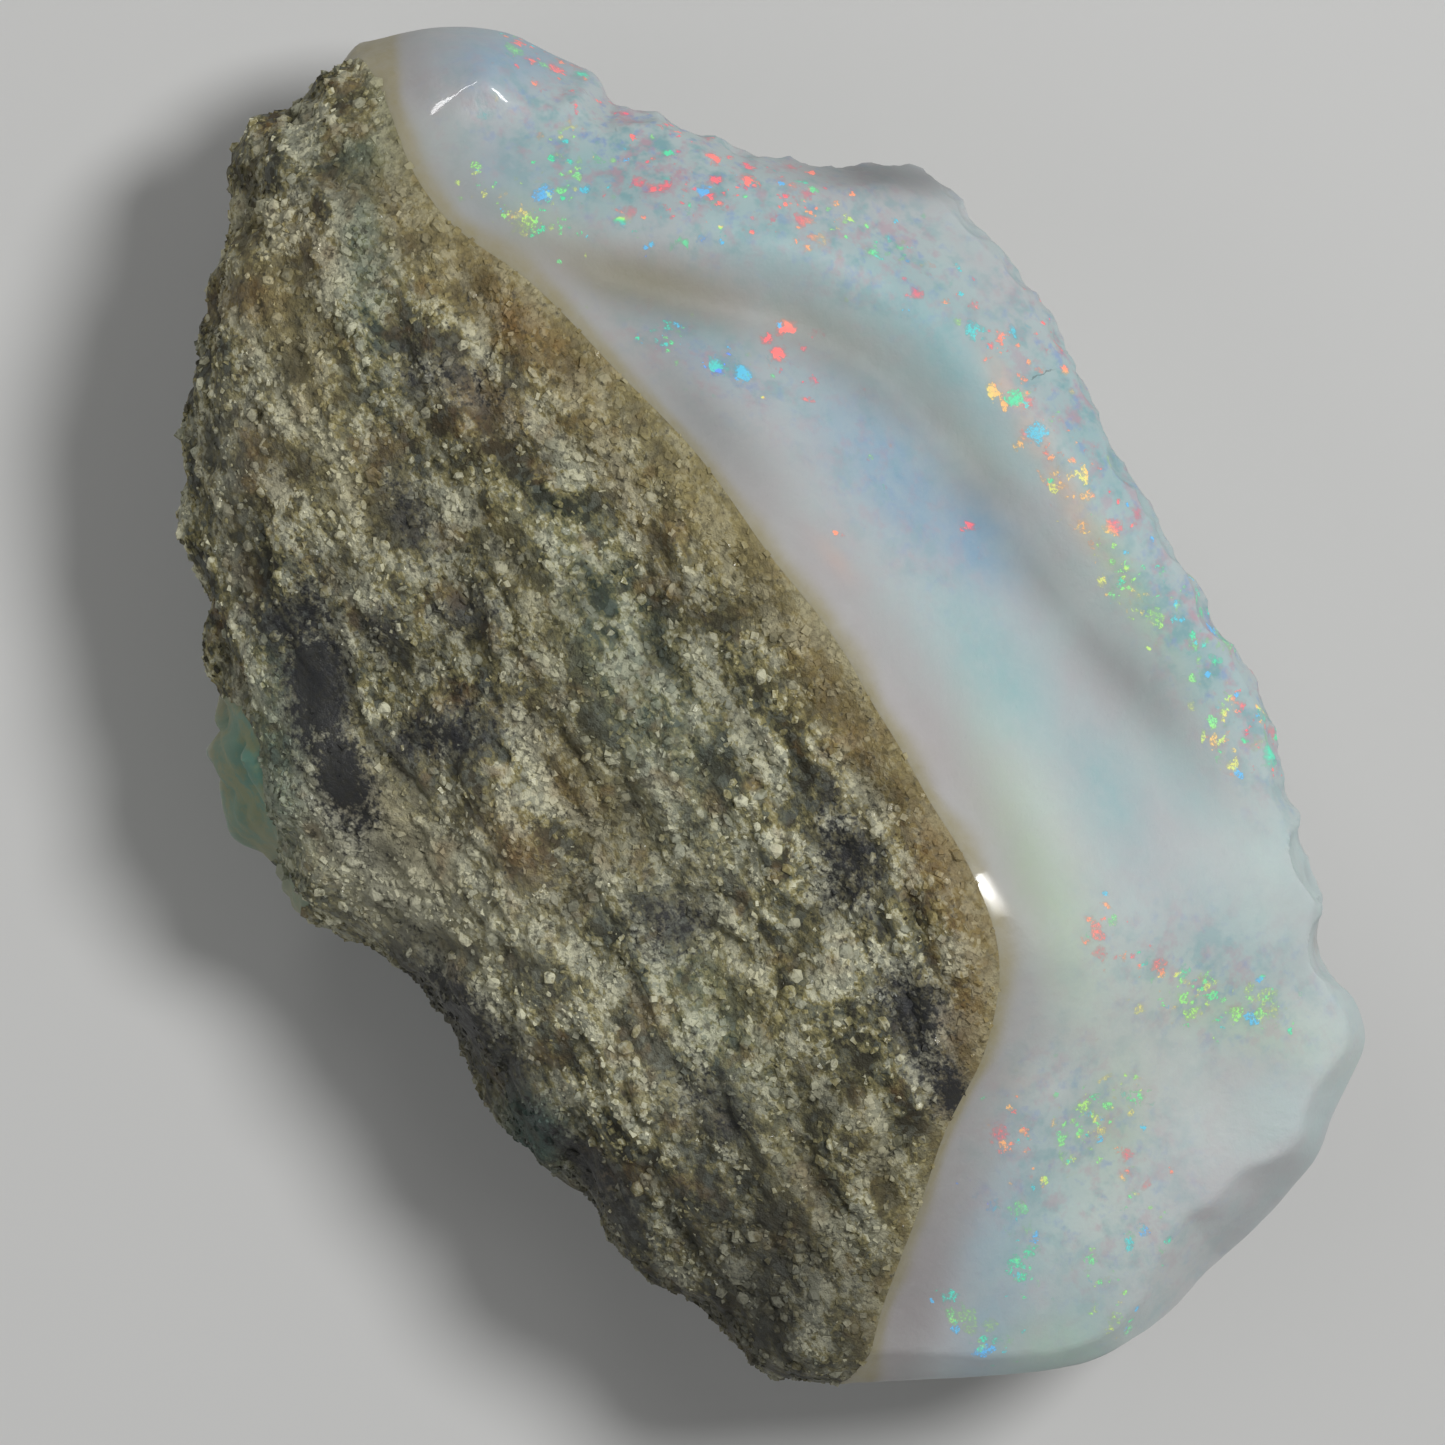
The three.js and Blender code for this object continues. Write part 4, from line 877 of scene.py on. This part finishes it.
def sandColour(paint, base):  # stains and pale patches laid over a grain or cement colour, with painted shade in the furrows and low down and painted light on one face
    stain = paint.noise(0.8, 3, 0.6)
    for name, strength in sandLook["tinted"]:
        base = paint.mix((paint.mask(name) * (0.3 + stain * 1.4) * strength).least(1.0), base, name)
    border, ragged = paint.mask("border"), paint.noise(5.0, 2, 0.75)
    inner = 1 - border
    pitted = paint.noise(3.4, 3, 0.65).between(0.55, 0.66)
    potch = (paint.mask("potch") + ragged * 2.4 - 1.2).between(0.15, 0.85)
    return paint.laid(
        base, (stain.between(0.54, 0.7) * 0.4, "rust"), (border * 0.6, "brown"),
        (paint.mask("hollow") * inner * 0.55, "gap"), (paint.mask("halo") * 0.4, "smoky"),
        (pitted * inner * 0.65, "gap"), (potch * 0.95, "potch"), (paint.mask("dim") * 0.6, "dark"))


def clumps(paint):  # grains gathered into pale and dark streaks along the bedding
    return paint.noise(1.2, 4, 0.7, stretch=(0.45, 1.0, 0.7))


def sandMaterial():
    paint = Paint("sandstone", sandLook["colours"])
    shift = paint.scaled(paint.noise(7.0, 2, 0.5, "Color"), 0.12)
    grain, (own, second, _) = paint.cells(shift, 5.2)
    grit, potch = paint.noise(5.0, 4, 0.7), paint.mask("potch")
    tone = clumps(paint) * 4.0 - 2.22 + own * 0.3 + grit * 1.5 - paint.mask("bare") * 0.4
    colour = paint.ramp(tone, sandLook["cementStops"])
    colour = paint.mix(second.between(0.62, 0.7) * 0.5, colour, "glass")
    colour = paint.mix(grain.between(0.45, 0.8) * 0.3, sandColour(paint, colour), "gap")
    normal = paint.bump(grit * 1.6 * (1 - potch.least(1.0) * 0.6), 0.9, 0.1)
    return paint.finish(baseColor=colour, roughness=0.8 - second * 0.25 - potch * 0.2, normal=normal)


def grainMaterial():
    paint = Paint("sandGrains", sandLook["colours"])
    own, grit = paint.mask("tone"), paint.noise(5.0, 3, 0.7)
    tone = clumps(paint) * 4.0 - 2.4 + own * 0.85 + grit * 1.2
    colour = paint.ramp(tone, sandLook["grainStops"])
    colour = paint.mix((own * 7.3).fraction().between(0.66, 0.7) * 0.55, colour, "glass")
    colour = sandColour(paint, colour)
    sparkle = (own * 13.7).fraction().between(0.9, 0.92)
    return paint.finish(baseColor=colour, roughness=0.78 - sparkle * 0.6, normal=paint.bump(grit, 0.9, 0.08))


def grainTree(name, look, material):  # sand grains strewn over the faces that the cover mask marks
    tree = bpy.data.node_groups.new(name, "GeometryNodeTree")

    def socket(label, kind, way="INPUT"):
        return tree.interface.new_socket(label, in_out=way, socket_type="NodeSocket" + kind)

    def make(kind, settings={}, inputs={}):
        return addNode(tree, "GeometryNode" + kind, settings, inputs).outputs

    def drawn(kind, inputs):
        return addNode(tree, "FunctionNodeRandomValue", {"data_type": kind}, inputs).outputs

    def scaled(vector, factor):
        values = {0: vector, "Scale": factor}
        return addNode(tree, "ShaderNodeVectorMath", {"operation": "SCALE"}, values).outputs[0]

    def product(a, b):
        return addNode(tree, "ShaderNodeMath", {"operation": "MULTIPLY"}, {0: a, 1: b}).outputs[0]

    socket("Geometry", "Geometry")
    for label, value in (("Spacing", look["spacing"] * mm), ("Grain Size", look["size"] * mm),
                         ("Density", look["density"] / mm ** 2)):
        socket(label, "Float").default_value = value
    socket("Seed", "Int").default_value = look["seed"]
    socket("Geometry", "Geometry", "OUTPUT")

    given = addNode(tree, "NodeGroupInput").outputs
    cover = make("InputNamedAttribute", {"data_type": "FLOAT"}, {"Name": "cover"})[0]
    strewn = make("DistributePointsOnFaces", {"distribute_method": "POISSON"}, {
        "Mesh": given["Geometry"], "Distance Min": given["Spacing"], "Density Factor": cover,
        "Density Max": given["Density"], "Seed": given["Seed"]})
    least, most = strewing["bulk"]
    bulk = drawn("FLOAT", {2: least, 3: most, "Seed": strewing["bulkSeed"]})[1]
    grown = product(bulk, given["Grain Size"])
    low, high = ((v, v, v) for v in strewing["stretch"])
    stretch = drawn("FLOAT_VECTOR", {0: low, 1: high, "Seed": given["Seed"]})[0]
    sink = scaled(strewn["Normal"], product(grown, -strewing["sink"]))
    sunk = make("SetPosition", {}, {"Geometry": strewn["Points"], "Offset": sink})
    turn = drawn("FLOAT_VECTOR", {0: (0, 0, 0), 1: (6.28, 6.28, 6.28), "Seed": strewing["turnSeed"]})[0]
    placed = make("InstanceOnPoints", {}, {
        "Points": sunk["Geometry"], "Instance": make(look["shape"])["Mesh"], "Rotation": turn,
        "Scale": scaled(stretch, grown)})
    tone = drawn("FLOAT", {2: look["palest"], "Seed": strewing["toneSeed"]})[1]
    toned = make("StoreNamedAttribute", {"data_type": "FLOAT", "domain": "INSTANCE"}, {
        "Geometry": placed["Instances"], "Name": "tone", "Value": tone})
    real = make("RealizeInstances", {}, {"Geometry": toned["Geometry"]})
    flat = make("SetShadeSmooth", {}, {"Geometry": real["Geometry"], "Shade Smooth": False})
    painted = make("SetMaterial", {}, {"Geometry": flat["Geometry"], "Material": material})
    addNode(tree, "NodeGroupOutput", {}, {"Geometry": painted["Geometry"]})
    return tree


def strewGrains(name, look, material):
    made = copyOf(sandstone, name)
    made.data.materials.clear()
    strew = made.modifiers.new("grains", "NODES")
    strew.node_group = grainTree(name, look, material)
    sockets = {s.name: s.identifier for s in strew.node_group.interface.items_tree if s.in_out == "INPUT"}
    strew[sockets["Seed"]] = look["seed"]
    applied(made)
    print(name, len(made.data.polygons), "faces")
    return made


opalMasks(opal)
sandMasks(sandstone)
for piece, material in ((opal, opalMaterial()), (sandstone, sandMaterial())):
    piece.data.materials.clear()
    piece.data.materials.append(material)
    piece.data.shade_smooth()
    piece.data.set_sharp_from_angle(angle=math.radians(45))
grainPaint = grainMaterial()
grains = [strewGrains(name + "Grains", look, grainPaint) for name, look in grainLook.items()]
print("materials and grains done")

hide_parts("opal")
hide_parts("sandstone")
for piece in (opal, sandstone, *grains):
    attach(piece, "root")


# Floor, light and camera
studio = {
    "floor": 1.2, "floorColour": (0.62, 0.62, 0.61), "sky": 0.22,
    "lights": [  # azimuth in the picture, height, distance, width, depth, power
        (24, 60, 0.36, 0.1, 0.1, 0.8), (190, 45, 0.45, 0.3, 0.3, 0.12),
        (116, 40, 0.45, 0.13, 0.035, 0.14)],
    "pictureCentre": (-1.26, -0.49), "pictureWidth": 36.125, "distance": 1000.0, "focusHeight": 7.5,
}

half, pale = studio["floor"] / 2, studio["floorColour"]
mesh = bpy.data.meshes.new("floor")
mesh.from_pydata([(-half, -half, 0), (half, -half, 0), (half, half, 0), (-half, half, 0)], [], [(0, 1, 2, 3)])
floor = linked("floor", mesh)
paint = Paint("floor", {"pale": pale, "dim": tuple(v * 0.92 for v in pale)})
shade = paint.mix(paint.noise(0.03, 3) * 0.12, "pale", "dim")
mesh.materials.append(paint.finish(baseColor=shade, roughness=0.75))

for azimuth, height, distance, width, depth, power in studio["lights"]:
    lamp = bpy.data.lights.new("softbox", "AREA")
    lamp.shape, lamp.size, lamp.size_y, lamp.energy = "ELLIPSE", width, depth, power
    softbox = linked("softbox", lamp)
    way, up = math.radians(azimuth + stone["turn"]), math.radians(height)
    level = distance * math.cos(up)
    softbox.location = (level * math.cos(way), level * math.sin(way), distance * math.sin(up))
    softbox.rotation_euler = (math.pi / 2 - up, 0, way + math.pi / 2)
world = bpy.data.worlds.new("studio")
world.use_nodes = True
sky = world.node_tree.nodes["Background"].inputs
sky["Color"].default_value = (1, 1, 1, 1)
sky["Strength"].default_value = studio["sky"]

lens = bpy.data.cameras.new("camera")
lens.sensor_width = 36.0
lens.lens = lens.sensor_width * studio["distance"] / studio["pictureWidth"]
lens.clip_start, lens.clip_end = 0.01, 10.0
camera = linked("camera", lens)
spot = (*studio["pictureCentre"], studio["focusHeight"] + studio["distance"])
camera.location = toFrame(np.array([spot]))[0]
camera.rotation_euler = (0, 0, math.radians(stone["turn"]))

scene = bpy.context.scene
scene.world, scene.camera = world, camera
scene.view_settings.view_transform = "Standard"
print("scene ready")
